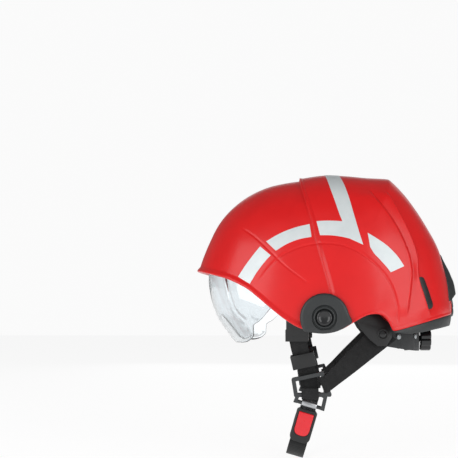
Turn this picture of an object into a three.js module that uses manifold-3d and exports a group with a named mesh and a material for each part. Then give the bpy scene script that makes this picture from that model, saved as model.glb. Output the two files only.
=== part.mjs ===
// A firefighter's technical rescue helmet: a glossy shell with a drop-down visor, a foam liner, a head ring with a
// ratchet nape cradle, and a Y-shaped chin harness with a push-button buckle.
// Millimetres, +Z up. The helmet faces -Y and +X is the wearer's left. The origin lies midway between the two visor
// pivots, so the visor turns about the X axis.
import * as THREE from "three";
import Module from "manifold-3d";
import { mergeVertices } from "three/addons/utils/BufferGeometryUtils.js";

const wasm = await Module();
wasm.setup();

// ---------------------------------------------------------------- driving dimensions
const GAP = 0.3; // left between pieces that touch
const CROWN_HEIGHT = 159.6; // pivot axis to the top of the shell
const HALF_WIDTH = 105; // middle of the helmet to the shell's side
const SQUARENESS = 2.45; // exponent of the shell's cross-sections: 2 is an ellipse
const SHELL_WALL = 3;

const SIDE = CROWN_HEIGHT / 159.6; // outlines seen from the side are drawn at a crown height of 159.6
const WIDE = HALF_WIDTH / 105; // and places across the helmet at a half width of 105

// The shell's outline in its middle plane: degrees up from the front horizon, and distance from the pivot axis.
const SHELL_PROFILE = [
  [0, 146], [22, 151], [32, 154], [43, 159], [54, 161], [66, 159.6], [78, 157], [90, 159.6], [105, 163.2],
  [114.4, 168.5], [122, 164], [130, 157.2], [139, 151.5], [150, 147], [160, 143.2], [175, 141.5], [190, 138],
  [225, 120], [270, 110], [315, 125],
];
// The visor's, which stays inside the shell's at every angle that the visor turns to.
const VISOR_PROFILE = [
  [-45, 95], [-14, 106.6], [1, 121.6], [11, 131.3], [19, 138.5], [27, 142.5], [60, 146], [110, 135], [180, 115], [270, 90],
];

// Lower edges, as [y, z] seen from the side.
const RIM = [
  [-150, 53.5], [-143, 52], [-117, 46], [-98, 40.2], [-79, 30.6], [-51, 8.1], [-37, -2.5], [-20, -11.2], [0, -14.3],
  [16, -11.3], [30, -3.4], [42, 3], [52, 4.6], [60, 2.8], [66, -3.5], [69.5, -10],
];
const TRIM_TOP = [[73, -12.6], [101, -5], [125, 1.4], [150, 7.5]];
const TRIM_BOTTOM = [[73, -14.8], [84, -16], [98, -15.2], [112, -12.8], [134, -9.2], [150, -8]];

const TRIM_PROUD = 0.6;
const TRIM_LIP = 1.5; // thickness of the trim's lip inside the shell
const TRIM_LIP_RISE = 5;

const COVER_RADIUS = 24.5;
const COVER_THICKNESS = 5;
const GROOVE_RADIUS = 12;
const GROOVE_DEPTH = 1.8;
const CAP_RADIUS = 7.85;
const CAP_PROUD = 3.5;
const PIVOT_STUD_RADIUS = 4;
const PIVOT_RUNNING_GAP = 0.1;
const VISOR_SIDE_ROOM = 4.4; // shell's inner face to the visor arm
const ARM_THICKNESS = 2.2;
const ARM_HUB_RADIUS = 12;
const LENS_THICKNESS = 2.2;
const RIVET_RADIUS = 2.4;
const CLIP_THICKNESS = 1.6;

const BOSS_RADIUS = 20.7;
const BOSS_WELL_RADIUS = 16.5;
const BOSS_PROUD = 2.5;
const BOSS_DEPTH = 13;
const BOSS_FLOOR = 2;
const BOSS_TILT = THREE.MathUtils.degToRad(8);
const BOSS_HEIGHT = 17; // of its centre above the pivot axis
const REAR_KNOB_LOBES = 6;
const SPINDLE_RADIUS = 2.8;

const HOOD_LIFT = [7, -10]; // how far the hood's outer face is shifted back and down from the shell's
const HOOD_SKIN = 1;

const SLOT_LENGTH = 35;
const SLOT_WIDTH = 9;
const SLOT_PROUD = 0.8;

const HEAD_HALF_WIDTH = 79 * WIDE; // inside the head ring
const HEAD_HALF_LENGTH = 96.5 * SIDE;
const HEAD_CENTRE_Y = 8.5 * SIDE;
const HEAD_CENTRE_Z = 30 * SIDE;
const HEAD_HALF_HEIGHT = 98 * SIDE;
const BAND_THICKNESS = 1.6;
const BAND_HEIGHT = 28;
const PAD_THICKNESS = 5;
const LINER_ROOM = 8; // head to liner

const NAPE_RADIUS = 73 * WIDE; // outside of the nape band, an arc about a vertical axis
const NAPE_CENTRE_Y = 33 * SIDE;
const NAPE_WALL = 2.4;
const NAPE_PIVOT = [60.4 * SIDE, -17.2 * SIDE]; // y, z
const NAPE_HALF_ANGLE = 73;
const PIVOT_PIN_RADIUS = 2.6;
const PIVOT_RING = 6;
const STRIP_THICKNESS = 1.2;
const STRIP_HALF_HEIGHT = 9.5;
const STRIP_TRAVEL = 15; // each way
const STRIP_GAP = 0.4;
const MODULE = 1; // gear module of the pinion and the toothed strips
const PINION_TEETH = 9;
const SIZE_KNOB_RADIUS = 14;
const SIZE_KNOB_LENGTH = 12;
const SIZE_KNOB_LOBES = 8;
const SIZE_KNOB_HEIGHT = -23.5; // z of its axis

const HARNESS_X = 73 * WIDE; // where the chin harness starts, across
const HARNESS_Z = -15 * SIDE;
const HARNESS_LEAN = THREE.MathUtils.degToRad(8);
const WEBBING = 1.6;
const FRONT_STRAP_WIDTH = 18;
const REAR_STRAP_WIDTH = 26;
const DIVIDER_BAR = 4;
const CHIN_STRAP_WIDTH = 19;
const CHIN_BAR_RADIUS = 2;
const BUCKLE = { length: 36, width: 22, thickness: 11 };
const BUTTON = { length: 25, width: 16, thickness: 2.6, travel: 1.8, clearance: 0.4 };
const TONGUE = { width: 13, thickness: 1.6, reach: 12, clearance: 1 };

// ---------------------------------------------------------------- materials
const material = (color, roughness, metalness = 0, extra = {}) =>
  new THREE.MeshStandardMaterial({ color, roughness, metalness, ...extra });
const RED = material(0xd8141c, 0.22);
const GREY = material(0x45474a, 0.55);
const BLACK = material(0x141416, 0.45);
const WEB = material(0x17171a, 0.9);
const CLEAR = material(0xf2f5f6, 0.05, 0, { transparent: true, opacity: 0.3 });
const FOAM = material(0x2a2b2d, 0.95);
const STEEL = material(0xb9bcc0, 0.35, 1);
const BUTTON_RED = material(0xe8252b, 0.35);
const SLATE = material(0x7d8084, 0.5);

// ---------------------------------------------------------------- solids
// A closed three.js geometry as a manifold-3d solid, and back.
function solid(geometry) {
  const bare = geometry.clone();
  for (const name of Object.keys(bare.attributes)) if (name !== "position") bare.deleteAttribute(name);
  const merged = mergeVertices(bare, 1e-4);
  const vertProperties = merged.attributes.position.array;
  const triVerts = new Uint32Array(merged.index.array);
  return new wasm.Manifold(new wasm.Mesh({ numProp: 3, vertProperties, triVerts }));
}

function geometryOf(manifold) {
  const mesh = manifold.getMesh();
  const geometry = new THREE.BufferGeometry();
  geometry.setAttribute("position", new THREE.BufferAttribute(mesh.vertProperties, 3));
  geometry.setIndex(new THREE.BufferAttribute(mesh.triVerts, 1));
  return geometry;
}

const join = (...solids) => solids.reduce((a, b) => a.add(b));
const cut = (first, ...others) => others.reduce((a, b) => a.subtract(b), first);

const group = new THREE.Group();
const left = new THREE.Group(); // the wearer's left, x positive
const right = new THREE.Group(); // its mirror image
right.scale.x = -1;
group.add(left, right);

// Puts a solid or geometry in the model as a named mesh.
function place(name, shape, finish, parent = group) {
  const mesh = new THREE.Mesh(shape instanceof THREE.BufferGeometry ? shape : geometryOf(shape), finish);
  mesh.name = name;
  parent.add(mesh);
  return mesh;
}

function placePair(name, shape, finish, parents = [left, right]) {
  place(name + "_left", shape, finish, parents[0]);
  place(name + "_right", shape, finish, parents[1]);
}

// ---------------------------------------------------------------- shape helpers
const toRad = THREE.MathUtils.degToRad;

// Catmull-Rom value of a closed [degrees, value] table.
function radiusAt(table, degrees) {
  const n = table.length;
  const start = table[0][0];
  const d = ((((degrees - start) % 360) + 360) % 360) + start;
  let i = n - 1;
  while (i > 0 && table[i][0] > d) i -= 1;
  const point = (k) => {
    const turn = Math.floor(k / n);
    const [a, r] = table[k - turn * n];
    return [a + 360 * turn, r];
  };
  const [p0, p1, p2, p3] = [i - 1, i, i + 1, i + 2].map(point);
  const span = p2[0] - p1[0];
  const t = (d - p1[0]) / span;
  const m1 = ((p2[1] - p0[1]) / (p2[0] - p0[0])) * span;
  const m2 = ((p3[1] - p1[1]) / (p3[0] - p1[0])) * span;
  const t2 = t * t;
  const t3 = t2 * t;
  const value = (2 * t3 - 3 * t2 + 1) * p1[1] + (t3 - 2 * t2 + t) * m1 + (3 * t2 - 2 * t3) * p2[1] + (t3 - t2) * m2;
  return value * SIDE;
}

// A closed shape whose half-planes through the X axis are all superellipses.
function dome(halfWidth, table, grow = 0, around = 48, across = 24) {
  const positions = [];
  const index = [];
  const power = 2 / SQUARENESS;
  for (let i = 0; i <= across; i += 1) {
    const s = (Math.PI * i) / across;
    const c = Math.cos(s);
    const x = Math.sign(c) * Math.abs(c) ** power * (halfWidth + grow);
    const share = Math.sin(s) ** power;
    for (let j = 0; j < around; j += 1) {
      const degrees = (360 * j) / around;
      const r = i === 0 || i === across ? 0 : (radiusAt(table, degrees) + grow) * share;
      positions.push(x, -r * Math.cos(toRad(degrees)), r * Math.sin(toRad(degrees)));
    }
  }
  for (let i = 0; i < across; i += 1) {
    for (let j = 0; j < around; j += 1) {
      const a = i * around + j;
      const b = i * around + ((j + 1) % around);
      const [c, d] = [a + around, b + around];
      if (i > 0) index.push(a, b, c);
      if (i < across - 1) index.push(b, d, c);
    }
  }
  const geometry = new THREE.BufferGeometry();
  geometry.setAttribute("position", new THREE.Float32BufferAttribute(positions, 3));
  geometry.setIndex(index);
  return solid(geometry);
}

const shellDome = (grow, around, across) => dome(HALF_WIDTH, SHELL_PROFILE, grow, around, across);

const vectors = (points, scale = SIDE) => points.map(([a, b]) => new THREE.Vector2(a * scale, b * scale));
const smooth = (points, steps = 40, scale = SIDE) => new THREE.SplineCurve(vectors(points, scale)).getPoints(steps);

const SIDE_VIEW = new THREE.Matrix4().makeBasis(
  new THREE.Vector3(0, 1, 0), new THREE.Vector3(0, 0, 1), new THREE.Vector3(1, 0, 0),
);
const REAR_VIEW = new THREE.Matrix4().makeBasis(
  new THREE.Vector3(-1, 0, 0), new THREE.Vector3(0, 0, 1), new THREE.Vector3(0, 1, 0),
);

// An outline drawn in the side view (y, z), as a prism from x0 to x1.
function sidePrism(outline, x0, x1, options = {}) {
  const shape = outline instanceof THREE.Shape ? outline : new THREE.Shape(outline);
  const geometry = new THREE.ExtrudeGeometry(shape, { depth: x1 - x0, bevelEnabled: false, curveSegments: 24, ...options });
  return solid(geometry.applyMatrix4(SIDE_VIEW).translate(x0, 0, 0));
}

// An outline drawn as seen from behind (x to the right is -X), as a prism from y0 to y1.
function rearPrism(outline, y0, y1, options = {}) {
  const shape = outline instanceof THREE.Shape ? outline : new THREE.Shape(outline);
  const geometry = new THREE.ExtrudeGeometry(shape, { depth: y1 - y0, bevelEnabled: false, curveSegments: 24, ...options });
  return solid(geometry.applyMatrix4(REAR_VIEW).translate(0, y0, 0));
}

const frameOf = (position, tilt = 0) =>
  new THREE.Matrix4().makeTranslation(...position)
    .multiply(new THREE.Matrix4().makeRotationX(tilt))
    .multiply(REAR_VIEW);

// A turned solid: [radius, height] pairs about local Z, moved by a matrix.
function turned(profile, matrix = new THREE.Matrix4(), segments = 40) {
  const points = profile.map(([r, h]) => new THREE.Vector2(r, h));
  return solid(new THREE.LatheGeometry(points, segments).rotateX(Math.PI / 2).applyMatrix4(matrix));
}

const disc = (radius, from, to, matrix, segments) =>
  turned([[0, from], [radius, from], [radius, to], [0, to]], matrix, segments);
const ringOf = (inner, outer, from, to, matrix, segments) =>
  turned([[inner, from], [outer, from], [outer, to], [inner, to], [inner, from]], matrix, segments);

const ALONG_X = new THREE.Matrix4().makeBasis(
  new THREE.Vector3(0, 1, 0), new THREE.Vector3(0, 0, 1), new THREE.Vector3(1, 0, 0),
);
const alongX = (y = 0, z = 0) => new THREE.Matrix4().makeTranslation(0, y, z).multiply(ALONG_X);

// A round-ended slot outline, long axis along local y.
function pill(length, width) {
  const shape = new THREE.Shape();
  const r = width / 2;
  const straight = length / 2 - r;
  shape.absarc(0, straight, r, 0, Math.PI);
  shape.absarc(0, -straight, r, Math.PI, 2 * Math.PI);
  return shape;
}

// Flat webbing or a band: stations of {centre, across, out}, with a width along across and a thickness along out.
function ribbon(stations, width, thickness) {
  const positions = [];
  const index = [];
  for (const { centre, across, out, scale = 1 } of stations) {
    const a = across.clone().normalize().multiplyScalar((width * scale) / 2);
    const o = out.clone().normalize().multiplyScalar(thickness / 2);
    for (const [u, v] of [[1, 1], [-1, 1], [-1, -1], [1, -1]]) {
      const p = centre.clone().addScaledVector(a, u).addScaledVector(o, v);
      positions.push(p.x, p.y, p.z);
    }
  }
  const last = stations.length - 1;
  for (let i = 0; i < last; i += 1) {
    for (let k = 0; k < 4; k += 1) {
      const [a, b] = [i * 4 + k, i * 4 + ((k + 1) % 4)];
      index.push(a, b, a + 4, b, b + 4, a + 4);
    }
  }
  index.push(0, 2, 1, 0, 3, 2);
  const e = last * 4;
  index.push(e, e + 1, e + 2, e, e + 2, e + 3);
  const geometry = new THREE.BufferGeometry();
  geometry.setAttribute("position", new THREE.Float32BufferAttribute(positions, 3));
  geometry.setIndex(index);
  const made = solid(geometry);
  if (made.volume() > 0) return made;
  for (let i = 0; i < index.length; i += 3) [index[i + 1], index[i + 2]] = [index[i + 2], index[i + 1]];
  geometry.setIndex(index);
  return solid(geometry);
}

const V = (x, y, z) => new THREE.Vector3(x, y, z);

// ---------------------------------------------------------------- shell, trim, hood and inserts
const rimCurve = smooth(RIM, 40);
const trimTop = smooth(TRIM_TOP, 6);
const trimBottom = smooth(TRIM_BOTTOM, 8);
const FAR = 200 * SIDE;

// Everything below the shell's own lower edge: the rim in front of the trim, the trim's top edge behind it.
const belowShell = sidePrism([V2(-FAR, 54 * SIDE), ...rimCurve, ...trimTop, V2(FAR, 9 * SIDE), V2(FAR, -FAR), V2(-FAR, -FAR)],
  -2 * HALF_WIDTH, 2 * HALF_WIDTH);
function V2(a, b) { return new THREE.Vector2(a, b); }

const bossY = radiusAt(SHELL_PROFILE, 173);
const bossFrame = frameOf([0, bossY, BOSS_HEIGHT * SIDE], BOSS_TILT);
const wellFloor = BOSS_PROUD - BOSS_DEPTH;

// The accessory slots at the rear corners: centre on the shell's surface, long axis down the side crease.
const slotTop = V(0, 98.5 * SIDE, 42 * SIDE);
const slotBottom = V(0, 110.4 * SIDE, 9.3 * SIDE);
function onShell(y, z, grow = 0) {
  const degrees = THREE.MathUtils.radToDeg(Math.atan2(z, -y));
  const share = Math.hypot(y, z) / (radiusAt(SHELL_PROFILE, degrees) + grow);
  return V((HALF_WIDTH + grow) * Math.max(0, 1 - share ** SQUARENESS) ** (1 / SQUARENESS), y, z);
}
const slotCentre = onShell((slotTop.y + slotBottom.y) / 2, (slotTop.z + slotBottom.z) / 2);
const slotUp = onShell(slotTop.y, slotTop.z).sub(onShell(slotBottom.y, slotBottom.z)).normalize();
const slotAside = onShell(slotCentre.y + 1, slotCentre.z).sub(onShell(slotCentre.y - 1, slotCentre.z));
const slotOut = slotAside.cross(slotUp).normalize();
if (slotOut.x < 0) slotOut.negate();
const slotFrame = new THREE.Matrix4().makeBasis(slotUp.clone().cross(slotOut).normalize(), slotUp, slotOut).setPosition(slotCentre);

function slotPrism(grow, from, to) {
  const shape = pill(SLOT_LENGTH + 2 * grow, SLOT_WIDTH + 2 * grow);
  const geometry = new THREE.ExtrudeGeometry(shape, { depth: to - from, bevelEnabled: false, curveSegments: 10 });
  return solid(geometry.translate(0, 0, from).applyMatrix4(slotFrame));
}
const mirrored = (made) => solid(flip(geometryOf(made)));
function flip(geometry) {
  const flipped = geometry.clone().scale(-1, 1, 1);
  const order = flipped.index.array;
  for (let i = 0; i < order.length; i += 3) [order[i + 1], order[i + 2]] = [order[i + 2], order[i + 1]];
  return flipped;
}

const outerDome = shellDome(0);
const innerDome = shellDome(-SHELL_WALL);
const slotHole = slotPrism(GAP, -12, 12);
const pivotHole = disc(PIVOT_STUD_RADIUS + GAP, -2 * HALF_WIDTH, 2 * HALF_WIDTH, alongX(), 24);

const shell = join(
  cut(outerDome, innerDome, belowShell, slotHole, mirrored(slotHole), pivotHole,
    disc(BOSS_RADIUS - 1, -10, 10, bossFrame)),
  cut(disc(BOSS_RADIUS, wellFloor - BOSS_FLOOR, BOSS_PROUD, bossFrame),
    disc(BOSS_WELL_RADIUS, wellFloor, BOSS_PROUD + 1, bossFrame),
    disc(SPINDLE_RADIUS + GAP, wellFloor - 2 * BOSS_FLOOR, wellFloor + 1, bossFrame, 24)),
);
place("outer_shell", shell, RED);

// Dark bumper along the shell's rear edge, with a lip that holds it behind the shell's wall.
const trimZone = (rise) => sidePrism([...trimBottom, ...trimTop.map((p) => V2(p.x, p.y + rise)).reverse()],
  -2 * HALF_WIDTH, 2 * HALF_WIDTH);
const trim = cut(
  join(
    cut(shellDome(TRIM_PROUD), shellDome(-SHELL_WALL - GAP - TRIM_LIP)).intersect(trimZone(-GAP)),
    cut(shellDome(-SHELL_WALL - GAP), shellDome(-SHELL_WALL - GAP - TRIM_LIP)).intersect(trimZone(TRIM_LIP_RISE)),
  ),
  disc(BOSS_RADIUS + GAP, -30, 30, bossFrame),
);
place("rear_trim", trim, GREY);

// Hood over the rear knob: an arrowhead outline cut from a copy of the shell's surface that is moved back and down.
const HOOD_HALF_WIDTH = 40;
const HOOD_APEX = 58; // above the boss centre
const HOOD_TIP = 4;
const HOOD_ARCH = BOSS_RADIUS + 5;
const hoodShape = new THREE.Shape();
hoodShape.moveTo(-HOOD_HALF_WIDTH, HOOD_TIP);
hoodShape.bezierCurveTo(-HOOD_HALF_WIDTH + 8, HOOD_APEX * 0.55, -18, HOOD_APEX, 0, HOOD_APEX);
hoodShape.bezierCurveTo(18, HOOD_APEX, HOOD_HALF_WIDTH - 8, HOOD_APEX * 0.55, HOOD_HALF_WIDTH, HOOD_TIP);
hoodShape.lineTo(HOOD_ARCH * Math.cos(0.45), HOOD_ARCH * Math.sin(0.45));
hoodShape.absarc(0, 0, HOOD_ARCH, 0.45, Math.PI - 0.45);
hoodShape.closePath();
const movedDome = solid(geometryOf(shellDome(HOOD_SKIN)).translate(0, HOOD_LIFT[0], HOOD_LIFT[1]));
const hoodPrism = solid(
  new THREE.ExtrudeGeometry(hoodShape, { depth: 60, bevelEnabled: false, curveSegments: 14 })
    .applyMatrix4(REAR_VIEW).translate(0, bossY - 45, BOSS_HEIGHT * SIDE),
);
place("rear_hood", cut(hoodPrism.intersect(movedDome), shellDome(GAP)), GREY);

const slotInsert = cut(slotPrism(0, -SHELL_WALL - 4, 6).intersect(shellDome(SLOT_PROUD)), shellDome(-SHELL_WALL - 1.5));
placePair("slot_insert", slotInsert, BLACK);

// ---------------------------------------------------------------- rear knob in the boss
// A knob with scalloped sides: radius, depth of the scallops and their number, from z0 to z1.
function lobedKnob(radius, lobes, scallop, z0, z1, matrix) {
  const shape = new THREE.Shape();
  const steps = lobes * 6;
  for (let i = 0; i < steps; i += 1) {
    const a = (2 * Math.PI * i) / steps;
    const wave = Math.max(0, Math.cos(a * lobes)) ** 2;
    const r = radius - scallop * wave;
    if (i === 0) shape.moveTo(r, 0);
    else shape.lineTo(r * Math.cos(a), r * Math.sin(a));
  }
  shape.closePath();
  const geometry = new THREE.ExtrudeGeometry(shape, {
    depth: z1 - z0 - 2, bevelEnabled: true, bevelThickness: 1, bevelSize: 1, bevelOffset: -1, bevelSegments: 1,
  });
  return solid(geometry.translate(0, 0, z0 + 1).applyMatrix4(matrix));
}
const knobRadius = BOSS_WELL_RADIUS - 0.6;
const rearKnob = cut(
  lobedKnob(knobRadius, REAR_KNOB_LOBES, 2.6, wellFloor + GAP, BOSS_PROUD - 0.8, bossFrame),
  disc(6, BOSS_PROUD - 4, BOSS_PROUD + 1, bossFrame, 24),
  disc(SPINDLE_RADIUS + GAP, wellFloor - 1, BOSS_PROUD, bossFrame, 24),
);
place("rear_knob", rearKnob, BLACK);
const spindleEnd = wellFloor - BOSS_FLOOR - 5;
const spindleHead = BOSS_PROUD - 4 + GAP;
place("rear_knob_spindle", turned([
  [0, spindleEnd], [SPINDLE_RADIUS, spindleEnd], [SPINDLE_RADIUS, spindleHead], [4.6, spindleHead],
  [4.6, BOSS_PROUD - 2.2], [0, BOSS_PROUD - 2.2],
], bossFrame, 24), STEEL);
place("rear_knob_nut", cut(disc(6, spindleEnd + 0.5, wellFloor - BOSS_FLOOR - GAP, bossFrame, 6),
  disc(SPINDLE_RADIUS + 0.2, spindleEnd - 1, wellFloor, bossFrame, 24)), STEEL);

// ---------------------------------------------------------------- side covers and caps
const coverX = HALF_WIDTH + GAP;
const coverFace = coverX + COVER_THICKNESS;
const coverFoot = smooth([[-40, -11], [-22, -13.4], [-10, -15.4], [0, -15.8], [12, -13.8], [24, -7.5], [40, 2]], 24);
const cover = cut(
  turned([[0, coverX], [COVER_RADIUS, coverX], [COVER_RADIUS, coverFace - 2.4], [COVER_RADIUS - 0.8, coverFace - 0.8],
    [COVER_RADIUS - 2.4, coverFace], [0, coverFace]], alongX(), 40),
  sidePrism([...coverFoot, V2(60, -60), V2(-60, -60)], coverX - 1, coverFace + 1),
  disc(GROOVE_RADIUS, coverFace - GROOVE_DEPTH, coverFace + 5, alongX()),
  disc(CAP_RADIUS + GAP, coverX + 1.5, coverFace + 5, alongX()),
  disc(PIVOT_STUD_RADIUS + GAP, coverX - 5, coverFace, alongX(), 24),
);
placePair("side_cover", cover, GREY);

const armOuterX = HALF_WIDTH - SHELL_WALL - VISOR_SIDE_ROOM;
const armInnerX = armOuterX - ARM_THICKNESS;
const studEnd = armInnerX - GAP - CLIP_THICKNESS - 0.6;
const capFace = coverFace + CAP_PROUD;
placePair("side_cap", turned([
  [0, studEnd], [PIVOT_STUD_RADIUS, studEnd], [PIVOT_STUD_RADIUS, coverX + 1.5 + GAP], [CAP_RADIUS, coverX + 1.5 + GAP],
  [CAP_RADIUS, capFace - 1], [CAP_RADIUS - 1, capFace], [0, capFace],
], alongX(), 36), BLACK);
placePair("pivot_clip", ringOf(PIVOT_STUD_RADIUS + 0.1, 7.5, armInnerX - GAP - CLIP_THICKNESS, armInnerX - GAP, alongX(), 24), STEEL);
placePair("pivot_washer", ringOf(PIVOT_STUD_RADIUS + GAP, 9, armOuterX + GAP, HALF_WIDTH - SHELL_WALL - GAP - 0.2, alongX(), 24), BLACK);

// ---------------------------------------------------------------- visor
const lensHalfWidth = armInnerX - GAP;
const visorDome = (halfWidth) => dome(halfWidth, VISOR_PROFILE, 0, 40, 24);
const lensWallCut = dome(lensHalfWidth, VISOR_PROFILE, -LENS_THICKNESS, 40, 24);
const LENS_OUTLINE = [
  [-50, 14], [-58, 7], [-67, -3], [-75.5, -8.5], [-74, -13], [-74.5, -19], [-80, -24.6], [-88, -27], [-104, -28],
];
const lensOutline = [
  ...smooth(LENS_OUTLINE, 24), V2(-160 * SIDE, -28 * SIDE), V2(-160 * SIDE, 62 * SIDE), V2(-118 * SIDE, 61 * SIDE),
  V2(-80 * SIDE, 48 * SIDE), V2(-50 * SIDE, 40 * SIDE),
];
const noseShape = new THREE.Shape();
noseShape.absellipse(0, -31 * SIDE, 23 * WIDE, 33 * SIDE, 0, Math.PI);
noseShape.lineTo(-23 * WIDE, -60 * SIDE);
noseShape.lineTo(23 * WIDE, -60 * SIDE);
const rivetAt = [-60 * SIDE, 27 * SIDE];
const rivetHole = disc(RIVET_RADIUS + GAP, 0, 2 * HALF_WIDTH, alongX(...rivetAt), 14);
const lens = cut(
  cut(visorDome(lensHalfWidth), lensWallCut).intersect(sidePrism(lensOutline, -HALF_WIDTH, HALF_WIDTH)),
  rearPrism(noseShape, -2 * FAR, 0), rivetHole, mirrored(rivetHole),
);
place("visor_lens", lens, CLEAR);

const armShape = new THREE.Shape();
armShape.absarc(0, 0, ARM_HUB_RADIUS, toRad(-75), toRad(80));
armShape.lineTo(-44 * SIDE, 34 * SIDE);
armShape.lineTo(-66 * SIDE, 37 * SIDE);
armShape.lineTo(-70 * SIDE, 27 * SIDE);
armShape.lineTo(-53 * SIDE, 14 * SIDE);
armShape.lineTo(-12 * SIDE, -1 * SIDE);
const armBand = cut(visorDome(armOuterX), dome(armInnerX, VISOR_PROFILE, 0, 40, 24));
const arm = cut(armBand.intersect(sidePrism(armShape, 0, HALF_WIDTH)), rivetHole,
  disc(PIVOT_STUD_RADIUS + PIVOT_RUNNING_GAP, 0, HALF_WIDTH, alongX(), 36));
placePair("visor_arm", arm, BLACK);
const rivetSkin = (halfWidth) => {
  const degrees = THREE.MathUtils.radToDeg(Math.atan2(rivetAt[1], -rivetAt[0]));
  const share = Math.hypot(...rivetAt) / radiusAt(VISOR_PROFILE, degrees);
  return halfWidth * (1 - share ** SQUARENESS) ** (1 / SQUARENESS);
};
placePair("visor_rivet", disc(RIVET_RADIUS, rivetSkin(lensHalfWidth) - LENS_THICKNESS - 2, rivetSkin(armOuterX) + 1,
  alongX(...rivetAt), 14), STEEL);

// ---------------------------------------------------------------- liner
function ellipsoid(halfX, halfY, halfZ, centre, across = 24, down = 16) {
  return solid(new THREE.SphereGeometry(1, across, down).scale(halfX, halfY, halfZ).translate(...centre));
}
const headCentre = [0, HEAD_CENTRE_Y, HEAD_CENTRE_Z];
const linerZone = sidePrism(
  [[-70, 220], [-12, 44], [-2, 30], [56, 30], [70, 14], [124, 14], [124, 44], [160, 44], [160, 220]].map(([a, b]) => V2(a * SIDE, b * SIDE)),
  -2 * HALF_WIDTH, 2 * HALF_WIDTH,
);
const armSweep = sidePrism([[-80, 0], [14, 0], [14, 98], [-80, 98]].map(([a, b]) => V2(a * SIDE, b * SIDE)), armInnerX - 15, 2 * HALF_WIDTH);
const slotRoom = slotPrism(1.5, -16, 10);
const liner = cut(
  shellDome(-SHELL_WALL - 1.9, 40, 20).intersect(linerZone),
  ellipsoid(HEAD_HALF_WIDTH + LINER_ROOM, HEAD_HALF_LENGTH + LINER_ROOM, HEAD_HALF_HEIGHT + LINER_ROOM, headCentre),
  armSweep, mirrored(armSweep), slotRoom, mirrored(slotRoom),
  disc(BOSS_RADIUS + 1, wellFloor - BOSS_FLOOR - 7, BOSS_PROUD + 9, bossFrame, 24),
);
place("impact_liner", liner, FOAM);

// ---------------------------------------------------------------- head ring and crown straps
// Points round the head ring: 0 degrees is the front and 90 the wearer's left.
function ringPoint(degrees, grow = 0) {
  const a = toRad(degrees);
  return V((HEAD_HALF_WIDTH + grow) * Math.sin(a), HEAD_CENTRE_Y - (HEAD_HALF_LENGTH + grow) * Math.cos(a), 0);
}
const RING_END = 98;
const ringHeight = (degrees) => (12 + 40 * Math.cos(toRad(degrees))) * SIDE; // high on the brow, and falls towards the nape
function ringStations(from, to, steps, grow) {
  return Array.from({ length: steps + 1 }, (_, i) => {
    const degrees = from + ((to - from) * i) / steps;
    const centre = ringPoint(degrees, grow).setZ(ringHeight(Math.abs(degrees)));
    const a = toRad(degrees);
    const out = V(Math.sin(a) / HEAD_HALF_WIDTH, -Math.cos(a) / HEAD_HALF_LENGTH, 0).normalize();
    const fade = Math.abs(degrees) / RING_END;
    return { centre, across: V(0, 0, 1), out, scale: 1 - 0.25 * fade * fade };
  });
}
const ringHole = disc(RIVET_RADIUS + GAP, 60, 90, alongX(15 * SIDE, 10 * SIDE), 14);
const headRing = ribbon(ringStations(-RING_END, RING_END, 48, -BAND_THICKNESS), BAND_HEIGHT, BAND_THICKNESS);
place("head_ring", cut(headRing, ringHole, mirrored(ringHole)), BLACK);
place("brow_pad", ribbon(ringStations(-58, 58, 24, -1.5 * BAND_THICKNESS - GAP - PAD_THICKNESS / 2), BAND_HEIGHT + 4, PAD_THICKNESS), FOAM);

// Two textile straps cross under the crown: one from side to side, one from the brow to the back of the liner.
function crownStrap(a, b, top) {
  const steps = 22;
  const middle = a.clone().add(b).multiplyScalar(0.5);
  const along = b.clone().sub(a).multiplyScalar(0.5);
  const heading = along.clone().setZ(0).normalize();
  const stations = Array.from({ length: steps + 1 }, (_, i) => {
    const t = (Math.PI * i) / steps;
    const centre = middle.clone().addScaledVector(along, -Math.cos(t)).add(V(0, 0, (top - middle.z) * Math.sin(t)));
    const out = heading.clone().multiplyScalar(-Math.cos(t) * 1.1).add(V(0, 0, Math.sin(t)));
    return { centre, across: V(-heading.y, heading.x, 0), out };
  });
  return ribbon(stations, 18, WEBBING);
}
const ringSide = (degrees) => ringPoint(degrees, 2.2).setZ(ringHeight(Math.abs(degrees)) + 8);
const crownTop = HEAD_CENTRE_Z + HEAD_HALF_HEIGHT;
const browAnchor = ringPoint(0, 2.6).setZ(48 * SIDE);
const backOfLiner = V(0, HEAD_CENTRE_Y + HEAD_HALF_LENGTH, 38 * SIDE);
place("crown_strap_cross", crownStrap(ringSide(88), ringSide(-88), crownTop - 2), WEB);
place("crown_strap_long", crownStrap(browAnchor, backOfLiner, crownTop + 1), WEB);

// ---------------------------------------------------------------- nape cradle and its ratchet
// An arc of the nape, about the vertical axis at NAPE_CENTRE_Y: angles from the rear, edges as functions of them.
function arcBand(inner, outer, from, to, bottom, top, steps = 40) {
  const stations = [];
  for (let i = 0; i <= steps; i += 1) {
    const degrees = from + ((to - from) * i) / steps;
    const a = toRad(degrees);
    const out = V(Math.sin(a), Math.cos(a), 0);
    const [z0, z1] = [bottom(degrees), top(degrees)];
    const centre = V(0, NAPE_CENTRE_Y, (z0 + z1) / 2).addScaledVector(out, (inner + outer) / 2);
    stations.push({ centre, across: V(0, 0, 1), out, scale: z1 - z0 });
  }
  return ribbon(stations, 1, outer - inner);
}
const napeBottom = (degrees) => (-37 + 9 * (degrees / NAPE_HALF_ANGLE) ** 2) * SIDE;
const napeTop = (degrees) => (-6 + 3 * (degrees / NAPE_HALF_ANGLE) ** 2) * SIDE;
const knobAxisZ = SIZE_KNOB_HEIGHT * SIDE;
const knobFrame = frameOf([0, NAPE_CENTRE_Y, knobAxisZ]);
const napeInner = NAPE_RADIUS - NAPE_WALL;
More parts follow.
